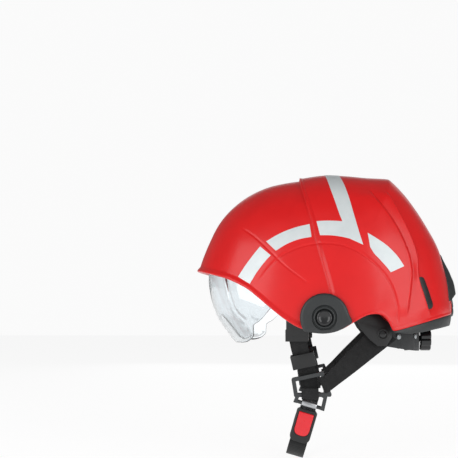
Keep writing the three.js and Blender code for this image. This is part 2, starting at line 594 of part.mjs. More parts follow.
const napeBand = cut(
  arcBand(napeInner, NAPE_RADIUS, -NAPE_HALF_ANGLE, NAPE_HALF_ANGLE, napeBottom, napeTop, 24),
  disc(4, NAPE_RADIUS - 8, NAPE_RADIUS + 8, knobFrame, 32),
  ...[-1, 1].map((side) => turned([[0, 50], [PIVOT_PIN_RADIUS + PIVOT_RUNNING_GAP, 50],
    [PIVOT_PIN_RADIUS + PIVOT_RUNNING_GAP, 90], [0, 90]], alongX(...NAPE_PIVOT), 16)).map((hole, i) => (i ? mirrored(hole) : hole)),
);

// Toothed strips: each has a slot with teeth along one edge, in mesh with the pinion.
const pitchRadius = (MODULE * PINION_TEETH) / 2;
const ADDENDUM = 0.75 * MODULE;
const DEDENDUM = 1.1 * MODULE;
const TOOTH_SHARE = 0.4; // of the pitch, at the pitch line
const TIP_SHARE = 0.2;
const pitch = Math.PI * MODULE;
const stripOuter = [napeInner - STRIP_GAP, napeInner - 2 * STRIP_GAP - STRIP_THICKNESS];
const STRIP_END = 50;
function toothedStrip(outer, side) {
  const inner = outer - STRIP_THICKNESS;
  const middle = (inner + outer) / 2;
  const turn = (mm) => THREE.MathUtils.radToDeg(mm / middle);
  const reach = turn(STRIP_TRAVEL + pitchRadius + 5);
  const blank = arcBand(inner, outer, -reach, STRIP_END, () => knobAxisZ - STRIP_HALF_HEIGHT, () => knobAxisZ + STRIP_HALF_HEIGHT, 24);
  const half = STRIP_TRAVEL + pitchRadius + 1.5;
  const points = [];
  const teeth = Math.floor((2 * half) / pitch / 2);
  const phase = side > 0 ? 0.5 : 0; // a gap faces the pinion's top tooth, a tooth faces its bottom gap
  points.push(V2(-half, -side * (pitchRadius + 2)));
  points.push(V2(-half, side * (pitchRadius + DEDENDUM)));
  for (let k = -teeth; k <= teeth; k += 1) {
    const x = (k + phase) * pitch;
    if (Math.abs(x) > half - pitch / 2) continue;
    points.push(V2(x - (TOOTH_SHARE * pitch) / 2 - 0.3 * DEDENDUM, side * (pitchRadius + DEDENDUM)));
    points.push(V2(x - (TIP_SHARE * pitch) / 2, side * (pitchRadius - ADDENDUM)));
    points.push(V2(x + (TIP_SHARE * pitch) / 2, side * (pitchRadius - ADDENDUM)));
    points.push(V2(x + (TOOTH_SHARE * pitch) / 2 + 0.3 * DEDENDUM, side * (pitchRadius + DEDENDUM)));
  }
  points.push(V2(half, side * (pitchRadius + DEDENDUM)));
  points.push(V2(half, -side * (pitchRadius + 2)));
  if (side < 0) points.reverse();
  const flat = new THREE.ExtrudeGeometry(new THREE.Shape(points.reverse()), { depth: 40, bevelEnabled: false });
  const window = solid(flat.applyMatrix4(REAR_VIEW).translate(0, NAPE_CENTRE_Y + NAPE_RADIUS - 25, knobAxisZ));
  return cut(blank, window);
}
place("band_strip_left", toothedStrip(stripOuter[0], 1), BLACK);
place("band_strip_right", solid(flip(geometryOf(toothedStrip(stripOuter[1], -1)))), BLACK);

const pinionShape = new THREE.Shape();
for (let k = 0; k < PINION_TEETH; k += 1) {
  const middle = Math.PI / 2 + (2 * Math.PI * k) / PINION_TEETH;
  const half = Math.PI / PINION_TEETH;
  const corners = [[-0.85, -DEDENDUM], [-0.62, -DEDENDUM], [-0.4, 0], [-0.2, ADDENDUM], [0.2, ADDENDUM], [0.4, 0], [0.62, -DEDENDUM], [0.85, -DEDENDUM]];
  for (const [share, rise] of corners) {
    const a = middle + share * half;
    const p = [(pitchRadius + rise) * Math.cos(a), (pitchRadius + rise) * Math.sin(a)];
    if (k === 0 && share === -0.85) pinionShape.moveTo(...p);
    else pinionShape.lineTo(...p);
  }
}
pinionShape.closePath();
const pinionFrom = stripOuter[1] - STRIP_THICKNESS - 0.4;
const pinionTo = napeInner - 0.4;
const pinionGeometry = new THREE.ExtrudeGeometry(pinionShape, { depth: pinionTo - pinionFrom, bevelEnabled: false });
const pinion = join(
  solid(pinionGeometry.translate(0, 0, pinionFrom).applyMatrix4(knobFrame)),
  disc(3.2, pinionTo - 0.5, NAPE_RADIUS + 3, knobFrame, 24),
);
place("size_pinion", pinion, BLACK);
const knobFrom = NAPE_RADIUS + 1;
const sizeKnob = cut(
  lobedKnob(SIZE_KNOB_RADIUS, SIZE_KNOB_LOBES, 1.8, knobFrom, knobFrom + SIZE_KNOB_LENGTH, knobFrame),
  disc(3.2 + GAP, knobFrom - 1, NAPE_RADIUS + 3 + GAP, knobFrame, 24),
  disc(4.5, knobFrom + SIZE_KNOB_LENGTH - 2, knobFrom + SIZE_KNOB_LENGTH + 1, knobFrame, 24),
);
place("size_knob", sizeKnob, BLACK);
place("size_knob_screw", disc(3.8, knobFrom + SIZE_KNOB_LENGTH - 1.7, knobFrom + SIZE_KNOB_LENGTH - 0.4, knobFrame, 24), STEEL);

// Back cover of the ratchet and the pad towards the head.
const coverOuter = pinionFrom - 0.4;
const PAD_COVER = 1.4;
place("ratchet_cover", arcBand(coverOuter - PAD_COVER, coverOuter, -36, 36, () => knobAxisZ - 12, () => knobAxisZ + 12, 20), BLACK);
place("nape_pad", arcBand(coverOuter - PAD_COVER - GAP - 4, coverOuter - PAD_COVER - GAP, -56, 56,
  (d) => napeBottom(d) + 2, (d) => napeTop(d) - 2, 32), FOAM);

// Rivets through the band.
const RIVET_PLACES = [-52, -26.8, 26.8, 52];
const napeRivets = RIVET_PLACES.map((degrees) => {
  const out = new THREE.Matrix4().makeTranslation(0, NAPE_CENTRE_Y, -20 * SIDE)
    .multiply(new THREE.Matrix4().makeRotationZ(-toRad(degrees))).multiply(REAR_VIEW);
  return [
    turned([[0, napeInner - 0.1], [1.6, napeInner - 0.1], [1.6, NAPE_RADIUS + GAP], [3.4, NAPE_RADIUS + GAP], [2.6, NAPE_RADIUS + 1.7], [0, NAPE_RADIUS + 2.1]], out, 14),
    disc(1.6 + 0.2, NAPE_RADIUS - 6, NAPE_RADIUS + 3, out, 14),
  ];
});
napeRivets.forEach(([rivet], i) => place(`nape_rivet_${i + 1}`, rivet, STEEL));
place("nape_band", cut(napeBand, ...napeRivets.map(([, hole]) => hole)), GREY);

// Side arms: plates from the head ring's ends back to the harness pivots, which carry the nape band and rear straps.
const armX = HARNESS_X + 0.2;
const SIDE_ARM = [
  [8, 17], [8, 3], [33, -3], [38, -12], [46, -22], [55, -29.5], [64, -29.5], [70, -20], [67, -6], [56, 4], [40, 12], [30, 17],
];
const sideArm = cut(
  join(
    sidePrism(vectors(SIDE_ARM), armX, armX + 2.2),
    disc(PIVOT_RING, armX + 1, armX + 4, alongX(...NAPE_PIVOT), 16),
  ),
  disc(4.2, armX + 1.2, armX + 6, alongX(...NAPE_PIVOT), 16),
  disc(PIVOT_PIN_RADIUS + GAP, armX - 5, armX + 6, alongX(...NAPE_PIVOT), 16),
  disc(RIVET_RADIUS + GAP, armX - 5, armX + 6, alongX(15 * SIDE, 10 * SIDE), 14),
);
placePair("side_arm", sideArm, BLACK);
placePair("ring_rivet", turned([[0, armX - 1.5], [4, armX - 1.5], [4, armX - GAP], [RIVET_RADIUS, armX - GAP],
  [RIVET_RADIUS, HEAD_HALF_WIDTH + 0.8], [0, HEAD_HALF_WIDTH + 0.8]], alongX(15 * SIDE, 10 * SIDE), 14), STEEL);
placePair("harness_pin", turned([[0, NAPE_RADIUS - 13], [5.2, NAPE_RADIUS - 13], [5.2, NAPE_RADIUS - 11.4],
  [PIVOT_PIN_RADIUS, NAPE_RADIUS - 11.4], [PIVOT_PIN_RADIUS, armX + 1.2 + GAP], [3.9, armX + 1.2 + GAP], [3.9, armX + 3], [0, armX + 3]],
  alongX(...NAPE_PIVOT), 16), STEEL);

// ---------------------------------------------------------------- chin harness
// Flat parts are drawn in a frame that leans in towards the chin: x across, y and z in the plane of the straps.
const harness = new THREE.Matrix4().makeTranslation(HARNESS_X, 0, HARNESS_Z)
  .multiply(new THREE.Matrix4().makeRotationY(HARNESS_LEAN));
const inHarness = (made) => solid(geometryOf(made).applyMatrix4(harness));

const D = {
  topLeft: V2(-33, -50.5), topRight: V2(-3, -43.8), bottomRight: V2(5, -66.5), bottomLeft: V2(-30.5, -67),
};
const dividerShift = V2(0, -66.75 * (SIDE - 1));
for (const p of Object.values(D)) p.add(dividerShift);
const mid = (a, b) => a.clone().add(b).multiplyScalar(0.5);
// A straight bar between two points of the harness plane.
function bar(a, b, width, thickness, x = 0) {
  const across = V(0, b.y - a.y, a.x - b.x).normalize();
  const at = (p) => V(x, p.x, p.y);
  return ribbon([{ centre: at(a), across, out: V(1, 0, 0) }, { centre: at(b), across, out: V(1, 0, 0) }], width, thickness);
}
const corner = (p, r = DIVIDER_BAR / 2) => disc(r * 1.05, -DIVIDER_BAR / 2, DIVIDER_BAR / 2, alongX(p.x, p.y), 16);

// The chin strap's plane leans forward, and so does the bar that it hangs from on each side.
const CHIN_TILT = toRad(16.4);
const chinAt = V(0, -16.5 * SIDE, D.bottomLeft.y - 10.5).applyMatrix4(harness);
const chinFrame = new THREE.Matrix4().makeTranslation(chinAt.x, chinAt.y, chinAt.z)
  .multiply(new THREE.Matrix4().makeRotationX(-CHIN_TILT));
const inChin = (made) => solid(geometryOf(made).applyMatrix4(chinFrame));
const CHIN_BAR_HALF = 15;
const chinBox = (x0, x1, y0, y1, z0, z1) =>
  solid(new THREE.BoxGeometry(x1 - x0, y1 - y0, z1 - z0).translate((x0 + x1) / 2, (y0 + y1) / 2, (z0 + z1) / 2));
const rod = (radius, y0, y1, x = 0, z = 0, segments = 20) =>
  solid(new THREE.CylinderGeometry(radius, radius, y1 - y0, segments).translate(x, (y0 + y1) / 2, z));
const barAxis = V(0, 1, 0).transformDirection(chinFrame);
function chinPost(end, topY) {
  const foot = V(0, end * CHIN_BAR_HALF, -DIVIDER_BAR / 2).applyMatrix4(chinFrame);
  const top = V(0, topY, D.bottomLeft.y).applyMatrix4(harness);
  return ribbon([foot, top].map((centre) => ({ centre, across: barAxis, out: V(1, 0, 0) })), DIVIDER_BAR, DIVIDER_BAR);
}
const dividerFrame = join(
  inHarness(join(
    bar(D.topLeft, D.topRight, DIVIDER_BAR, DIVIDER_BAR), bar(D.topRight, D.bottomRight, DIVIDER_BAR, DIVIDER_BAR),
    bar(D.bottomRight, D.bottomLeft, DIVIDER_BAR, DIVIDER_BAR), bar(D.bottomLeft, D.topLeft, DIVIDER_BAR, DIVIDER_BAR),
    ...Object.values(D).map((p) => corner(p)),
  )),
  inChin(rod(CHIN_BAR_RADIUS, -CHIN_BAR_HALF, CHIN_BAR_HALF)), chinPost(-1, D.bottomLeft.x + 2), chinPost(1, D.bottomRight.x - 4),
);
placePair("strap_divider", dividerFrame, SLATE);

// The front strap hangs from its anchor, passes behind the divider's top bar and turns under its bottom bar.
const layer = DIVIDER_BAR / Math.SQRT2 + WEBBING / 2 + GAP; // clears the bars' corners
const topBarMiddle = mid(D.topLeft, D.topRight);
const downStrap = V2(D.topRight.y - D.topLeft.y, D.topLeft.x - D.topRight.x).normalize(); // square to the top bar, down
const anchorPoint = V2(-29 * SIDE, -3.5 * SIDE);
const frontAcross = V(0, D.topRight.x - D.topLeft.x, D.topRight.y - D.topLeft.y).normalize();
const lowPoint = V2(topBarMiddle.x + 2.5, D.bottomLeft.y);
const strapPath = [
  [0, anchorPoint.x, anchorPoint.y], [0, anchorPoint.x + 3, anchorPoint.y - 15 * SIDE],
  [-layer * 0.6, topBarMiddle.x - 3, topBarMiddle.y + 12], [-layer, topBarMiddle.x, topBarMiddle.y],
  [-layer, lowPoint.x, lowPoint.y + 6],
];
const frontStations = (() => {
  const curve = new THREE.CatmullRomCurve3(strapPath.map((p) => V(...p)), false, "centripetal");
  const stations = curve.getPoints(18).map((centre) => ({ centre, across: frontAcross, out: V(1, 0, 0) }));
  const turn = 8;
  for (let i = 1; i <= turn; i += 1) {
    const a = Math.PI + (Math.PI * i) / turn;
    const centre = V(layer * Math.cos(a), lowPoint.x, lowPoint.y + layer * Math.sin(a));
    stations.push({ centre, across: V(0, 1, 0), out: V(Math.cos(a), 0, Math.sin(a)) });
  }
  stations.push({ centre: V(layer, lowPoint.x, lowPoint.y + 8), across: V(0, 1, 0), out: V(1, 0, 0) });
  return stations;
})();
placePair("front_strap", inHarness(ribbon(frontStations, FRONT_STRAP_WIDTH, WEBBING)), WEB);

// Ladder lock on the front strap, above the divider.
const lockCentre = V2(topBarMiddle.x - 4.6, topBarMiddle.y + 17);
const lock = (() => {
  const half = FRONT_STRAP_WIDTH / 2 + 3.4;
  const ends = [V2(lockCentre.x - half * frontAcross.y, lockCentre.y - half * frontAcross.z),
    V2(lockCentre.x + half * frontAcross.y, lockCentre.y + half * frontAcross.z)];
  const block = bar(ends[0], ends[1], 15, 9.6, -1.4);
  const inside = [V2(lockCentre.x - (half - 2) * frontAcross.y, lockCentre.y - (half - 2) * frontAcross.z),
    V2(lockCentre.x + (half - 2) * frontAcross.y, lockCentre.y + (half - 2) * frontAcross.z)];
  return cut(block, bar(inside[0], inside[1], 30, 6.6, -1.4));
})();
placePair("ladder_lock", inHarness(lock), BLACK);

// Anchor: a plate on the head ring, with a mouth that takes the strap's end.
const anchorOutline = [[-41, -4], [-18, -4], [-19, 30], [-40, 34]].map(([a, b]) => V2(a * SIDE, b * SIDE));
const anchorBlock = join(
  bar(V2(anchorPoint.x - 12, anchorPoint.y), V2(anchorPoint.x + 12, anchorPoint.y), 12, 6.4),
  sidePrism([V2(anchorPoint.x - 11, anchorPoint.y), V2(anchorPoint.x + 11, anchorPoint.y), anchorOutline[2], anchorOutline[3]], 2.1, 4.4),
);
const anchorMouth = bar(V2(anchorPoint.x - 10.6, anchorPoint.y), V2(anchorPoint.x + 10.6, anchorPoint.y), 40, WEBBING + 4 * GAP);
placePair("front_anchor", inHarness(cut(anchorBlock, anchorMouth)), BLACK);

// The rear strap runs from the harness pivot to the divider's sloping bar and turns round it.
const backPoint = V2(NAPE_PIVOT[0], NAPE_PIVOT[1] - HARNESS_Z);
const slopeMiddle = mid(D.topRight, D.bottomRight);
const backWay = backPoint.clone().sub(slopeMiddle).normalize();
const slopeAcross = V(0, D.topRight.x - D.bottomRight.x, D.topRight.y - D.bottomRight.y).normalize();
const squareAcross = V(0, -backWay.y, backWay.x);
const rearSteps = 16;
backPoint.addScaledVector(backWay, 7);
const rearLength = backPoint.distanceTo(slopeMiddle);
const leaned = (vector) => vector.clone().transformDirection(harness);
const rearStations = Array.from({ length: rearSteps + 1 }, (_, i) => {
  const t = i / rearSteps;
  const ease = THREE.MathUtils.smoothstep(t, 0.4, 0.95);
  const p = slopeMiddle.clone().addScaledVector(backWay, rearLength * (1 - t));
  const centre = V(layer, p.x, p.y).applyMatrix4(harness);
  centre.x = THREE.MathUtils.lerp(armX - 1.8, centre.x, ease);
  const across = squareAcross.clone().lerp(leaned(slopeAcross), ease);
  return { centre, across, out: V(1, 0, 0).lerp(leaned(V(1, 0, 0)), ease), scale: 1 - 0.36 * t };
});
const wrapWay = V2(-slopeAcross.z, slopeAcross.y).normalize(); // square to the sloping bar
if (wrapWay.x < 0) wrapWay.negate();
for (let i = 1; i <= 7; i += 1) {
  const a = (Math.PI * i) / 7;
  const p = slopeMiddle.clone().addScaledVector(wrapWay, -layer * Math.sin(a));
  rearStations.push({ centre: V(layer * Math.cos(a), p.x, p.y).applyMatrix4(harness), across: leaned(slopeAcross),
    out: leaned(V(Math.cos(a), -wrapWay.x * Math.sin(a), -wrapWay.y * Math.sin(a))), scale: 0.64 });
}
const tail = slopeMiddle.clone().addScaledVector(backWay, 14);
rearStations.push({ centre: V(-layer - 0.3, tail.x, tail.y).applyMatrix4(harness), across: leaned(slopeAcross),
  out: leaned(V(-1, 0, 0)), scale: 0.64 });
const pinHole = disc(PIVOT_PIN_RADIUS + GAP, 0, 2 * HALF_WIDTH, alongX(...NAPE_PIVOT), 16);
placePair("rear_strap", cut(ribbon(rearStations, REAR_STRAP_WIDTH, WEBBING), pinHole), WEB);

// ---------------------------------------------------------------- tongue, buckle, button and chin strap
// Drawn in the chin frame: x outwards, y along the bars, z up the strap; its origin is the left bar's middle.
const leanIn = Math.atan2(12, 2 * chinAt.x);
const buckleTop = -5;
const buckleFrame = new THREE.Matrix4().makeRotationY(leanIn);
const inBuckle = (made) => solid(geometryOf(made).applyMatrix4(buckleFrame));
const tongue = join(
  cut(rod(CHIN_BAR_RADIUS + GAP + TONGUE.thickness, -8, 8, 0, 0, 28), rod(CHIN_BAR_RADIUS + GAP, -9, 9, 0, 0, 28)),
  inBuckle(cut(
    chinBox(-TONGUE.thickness / 2, TONGUE.thickness / 2, -TONGUE.width / 2, TONGUE.width / 2, buckleTop - TONGUE.reach, -CHIN_BAR_RADIUS - 1.1),
    disc(2.6, -5, 5, alongX(0, buckleTop - TONGUE.reach + 5.5), 20),
  )),
);
place("buckle_tongue", inChin(tongue), STEEL);

const bw = BUCKLE.width / 2;
const bt = BUCKLE.thickness / 2;
const buckleEnd = buckleTop - BUCKLE.length;
function buckleOutline(inset) {
  const shape = new THREE.Shape();
  const w = bw - inset;
  const [top, end] = [buckleTop - inset, buckleEnd + inset];
  const r = 7 - inset;
  shape.moveTo(-w, top - 2);
  shape.lineTo(-w, end + r);
  shape.quadraticCurveTo(-w, end, -w + r, end);
  shape.lineTo(w - r, end);
  shape.quadraticCurveTo(w, end, w, end + r);
  shape.lineTo(w, top - 2);
  shape.lineTo(w - 2, top);
  shape.lineTo(-w + 2, top);
  shape.closePath();
  return shape;
}
const chamfer = 1.6;
const buckleBlock = sidePrism(buckleOutline(chamfer), -bt + chamfer, bt - chamfer, {
  bevelEnabled: true, bevelThickness: chamfer, bevelSize: chamfer, bevelSegments: 2, curveSegments: 6,
});
function buttonOutline(grow) {
  const shape = new THREE.Shape();
  const w = BUTTON.width / 2 + grow;
  const top = buckleTop - 3.4 + grow;
  const end = top - BUTTON.length - 2 * grow;
  const r = w - 0.5;
  shape.moveTo(-w, top);
  shape.lineTo(-w, end + r);
  shape.quadraticCurveTo(-w, end, -w + r, end);
  shape.lineTo(w - r, end);
  shape.quadraticCurveTo(w, end, w, end + r);
  shape.lineTo(w, top);
  shape.closePath();
  return shape;
}
const buttonFloor = bt - BUTTON.thickness - BUTTON.travel - 0.3;
const socket = chinBox(-TONGUE.thickness / 2 - TONGUE.clearance, TONGUE.thickness / 2 + TONGUE.clearance,
  -TONGUE.width / 2 - TONGUE.clearance, TONGUE.width / 2 + TONGUE.clearance, buckleTop - TONGUE.reach - 3, buckleTop + 1);
const PIN_RADIUS = 1.3;
const PIN_LOOP = PIN_RADIUS + GAP + WEBBING;
const strapSlot = chinBox(-PIN_LOOP - GAP, PIN_LOOP + GAP, -CHIN_STRAP_WIDTH / 2 - GAP, CHIN_STRAP_WIDTH / 2 + GAP, buckleEnd - 1, buckleEnd + 9);
const pinAt = [0, buckleEnd + 4];
const buckle = cut(
  buckleBlock, socket, strapSlot,
  sidePrism(buttonOutline(BUTTON.clearance), buttonFloor, bt + 3, { curveSegments: 10 }),
  rod(PIN_RADIUS + GAP, -bw - 1, bw + 1, ...pinAt, 16),
);
place("buckle_body", inChin(inBuckle(buckle)), BLACK);
const button = sidePrism(buttonOutline(-0.8), bt - BUTTON.thickness + 0.8, bt + 0.2, {
  bevelEnabled: true, bevelThickness: 0.8, bevelSize: 0.8, bevelSegments: 2, curveSegments: 10,
});
place("release_button", inChin(inBuckle(button)), BUTTON_RED);
place("buckle_pin", inChin(inBuckle(rod(PIN_RADIUS, -bw + 0.8, bw - 0.8, ...pinAt, 16))), STEEL);

// Chin strap: from the pin in the buckle, under the chin, and round the right-hand bar.
const half = chinAt.x;
const strapStart = V(0, 0, pinAt[1] - PIN_LOOP + WEBBING / 2).applyMatrix4(buckleFrame);
const strapLeave = V(0, 0, buckleEnd - 3).applyMatrix4(buckleFrame);
const CHIN_DROP = 64 * SIDE;
const rightX = -2 * half;
const loop = CHIN_BAR_RADIUS + GAP + WEBBING / 2;
const chinPath = [
  strapStart, strapLeave, V(-half * 0.24, 0, -CHIN_DROP + 9), V(-half * 0.62, 0, -CHIN_DROP + 1.6), V(-half * 1.08, 0, -CHIN_DROP),
  V(-half * 1.5, 0, -CHIN_DROP + 8), V(-half * 1.8, 0, -CHIN_DROP + 26), V(rightX + loop + 1.6, 0, -12), V(rightX + loop, 0, 0),
];
const chinCurve = new THREE.CatmullRomCurve3(chinPath, false, "centripetal");
const chinStations = chinCurve.getPoints(44).map((centre, i) => {
  const along = chinCurve.getTangent(i / 44);
  return { centre, across: V(0, 1, 0), out: V(-along.z, 0, along.x) };
});
for (let i = 1; i <= 7; i += 1) {
  const a = (Math.PI * i) / 7;
  chinStations.push({ centre: V(rightX + loop * Math.cos(a), 0, loop * Math.sin(a)), across: V(0, 1, 0), out: V(-Math.cos(a), 0, -Math.sin(a)) });
}
const TAIL_END = 31;
const STRANDS_APART = WEBBING + 0.6;
const outAt = (i) => {
  const along = chinCurve.getTangent(i / 44);
  return V(-along.z, 0, along.x).normalize();
};
for (let i = 43; i >= TAIL_END; i -= 1) {
  const apart = THREE.MathUtils.lerp(STRANDS_APART, 2 * loop, THREE.MathUtils.smoothstep(i, 37, 44));
  const centre = chinCurve.getPoint(i / 44).addScaledVector(outAt(i), apart);
  chinStations.push({ centre, across: V(0, 1, 0), out: outAt(i).negate() });
}
const chinStrap = cut(
  join(
    ribbon(chinStations, CHIN_STRAP_WIDTH, WEBBING),
    inBuckle(rod(PIN_LOOP, -CHIN_STRAP_WIDTH / 2, CHIN_STRAP_WIDTH / 2, ...pinAt, 20)),
  ),
  inBuckle(rod(PIN_RADIUS + GAP, -bw, bw, ...pinAt, 20)),
);
place("chin_strap", inChin(chinStrap), WEB);

// Slider that holds the strap's turned-back end.
const sliderStep = 34;
const sliderOut = outAt(sliderStep);
const sliderFrame = new THREE.Matrix4()
  .makeBasis(sliderOut, V(0, 1, 0), sliderOut.clone().cross(V(0, 1, 0)))
  .setPosition(chinCurve.getPoint(sliderStep / 44).addScaledVector(sliderOut, STRANDS_APART / 2));
const sliderRoom = STRANDS_APART / 2 + WEBBING / 2 + 0.8;
const sliderHalf = CHIN_STRAP_WIDTH / 2 + 0.8;
const slider = cut(
  chinBox(-sliderRoom - 1.6, sliderRoom + 1.6, -sliderHalf - 2, sliderHalf + 2, -4.5, 4.5),
  chinBox(-sliderRoom, sliderRoom, -sliderHalf, sliderHalf, -9, 9),
);
place("strap_slider", inChin(solid(geometryOf(slider).applyMatrix4(sliderFrame))), BLACK);

export default group;
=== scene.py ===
"""Looks of a firefighter's rescue helmet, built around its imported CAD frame.

Lengths in the classes are millimetres in the helmet's own frame: -Y is the way the wearer faces, +X is the wearer's
left, +Z is up, and the origin lies midway between the visor's pivots.
"""

from __future__ import annotations

import logging
import math
from dataclasses import dataclass, field
from enum import Enum
from typing import Any, Iterable, Sequence

import bmesh
import bpy
import numpy as np
from mathutils import Matrix, Vector

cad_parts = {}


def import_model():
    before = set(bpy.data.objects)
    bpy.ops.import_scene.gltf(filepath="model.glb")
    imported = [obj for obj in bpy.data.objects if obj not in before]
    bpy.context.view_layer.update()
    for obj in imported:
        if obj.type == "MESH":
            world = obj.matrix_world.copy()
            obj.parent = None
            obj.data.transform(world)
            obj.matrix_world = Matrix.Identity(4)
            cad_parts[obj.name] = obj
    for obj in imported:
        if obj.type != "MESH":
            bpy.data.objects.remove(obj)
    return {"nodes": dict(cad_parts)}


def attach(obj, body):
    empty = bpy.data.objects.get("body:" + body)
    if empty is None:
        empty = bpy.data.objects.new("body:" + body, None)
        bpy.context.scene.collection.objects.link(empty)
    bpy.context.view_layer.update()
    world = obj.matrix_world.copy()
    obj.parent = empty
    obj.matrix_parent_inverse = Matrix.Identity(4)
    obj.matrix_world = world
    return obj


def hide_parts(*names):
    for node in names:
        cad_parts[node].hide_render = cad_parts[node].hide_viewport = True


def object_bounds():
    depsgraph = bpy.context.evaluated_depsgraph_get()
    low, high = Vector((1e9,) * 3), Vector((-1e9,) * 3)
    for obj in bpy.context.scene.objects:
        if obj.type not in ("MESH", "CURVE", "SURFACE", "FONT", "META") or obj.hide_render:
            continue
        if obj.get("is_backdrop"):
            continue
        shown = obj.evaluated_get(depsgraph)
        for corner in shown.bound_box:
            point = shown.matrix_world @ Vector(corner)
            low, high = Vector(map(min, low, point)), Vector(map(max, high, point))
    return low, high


LOG = logging.getLogger("helmet")
MM = 0.001
DRIFT_SIZE = 28  # mm over which a surface's colour drifts
RUB_SIZE = 6  # mm over which handling changes its gloss
Array = np.ndarray
Point = Sequence[float]
Faces = list[tuple[int, ...]]


class Body(str, Enum):
    """The rigid bodies of the frame that pieces ride on."""

    SHELL = "shell"
    VISOR = "visor"
    REAR_KNOB = "rear_knob"
    NAPE = "nape"
    SIZE_KNOB = "size_knob"
    STRIP_LEFT = "strip_left"
    STRIP_RIGHT = "strip_right"
    CHIN = "chin"
    BUTTON = "button"


class Side(Enum):
    """The wearer's left or right: its sign along X."""

    LEFT = 1
    RIGHT = -1

    @property
    def word(self) -> str:
        """The side's name as the frame's nodes end with it."""
        return self.name.lower()


# ---------------------------------------------------------------- colours and nodes
def linear(colour: str) -> tuple[float, float, float, float]:
    """Turns an sRGB hex colour into linear light.

    Args:
        colour: six hex digits, with or without a leading #.

    Returns:
        Red, green, blue and an alpha of one.
    """
    digits = colour.lstrip("#")
    channels = [int(digits[i : i + 2], 16) / 255 for i in (0, 2, 4)]
    lit = [c / 12.92 if c <= 0.04045 else ((c + 0.055) / 1.055) ** 2.4 for c in channels]
    return (*lit, 1.0)


def add_node(
    tree: bpy.types.NodeTree,
    kind: str,
    inputs: dict[Any, Any] | None = None,
    **settings: Any,
) -> bpy.types.Node:
    """Adds a shader node, sets its properties and fills or links its inputs.

    Args:
        tree: the material's node tree.
        kind: the node's type name without the ShaderNode prefix.
        inputs: socket name or number to a value, or to an output socket to link.
        **settings: properties of the node itself.

    Returns:
        The new node.
    """
    node = tree.nodes.new("ShaderNode" + kind)
    for name, value in settings.items():
        setattr(node, name, value)
    for key, value in (inputs or {}).items():
        if isinstance(value, bpy.types.NodeSocket):
            tree.links.new(value, node.inputs[key])
        else:
            node.inputs[key].default_value = value
    return node


class Pattern(Enum):
    """The surface patterns that a finish can have."""

    PLAIN = "plain"
    ORANGE_PEEL = "orange peel"
    MOULD_GRAIN = "mould grain"
    WEAVE = "weave"
    LEATHER = "leather"
    PRISMS = "prisms"
    BEADS = "beads"
    KNIT = "knit"
    BRUSHED = "brushed"


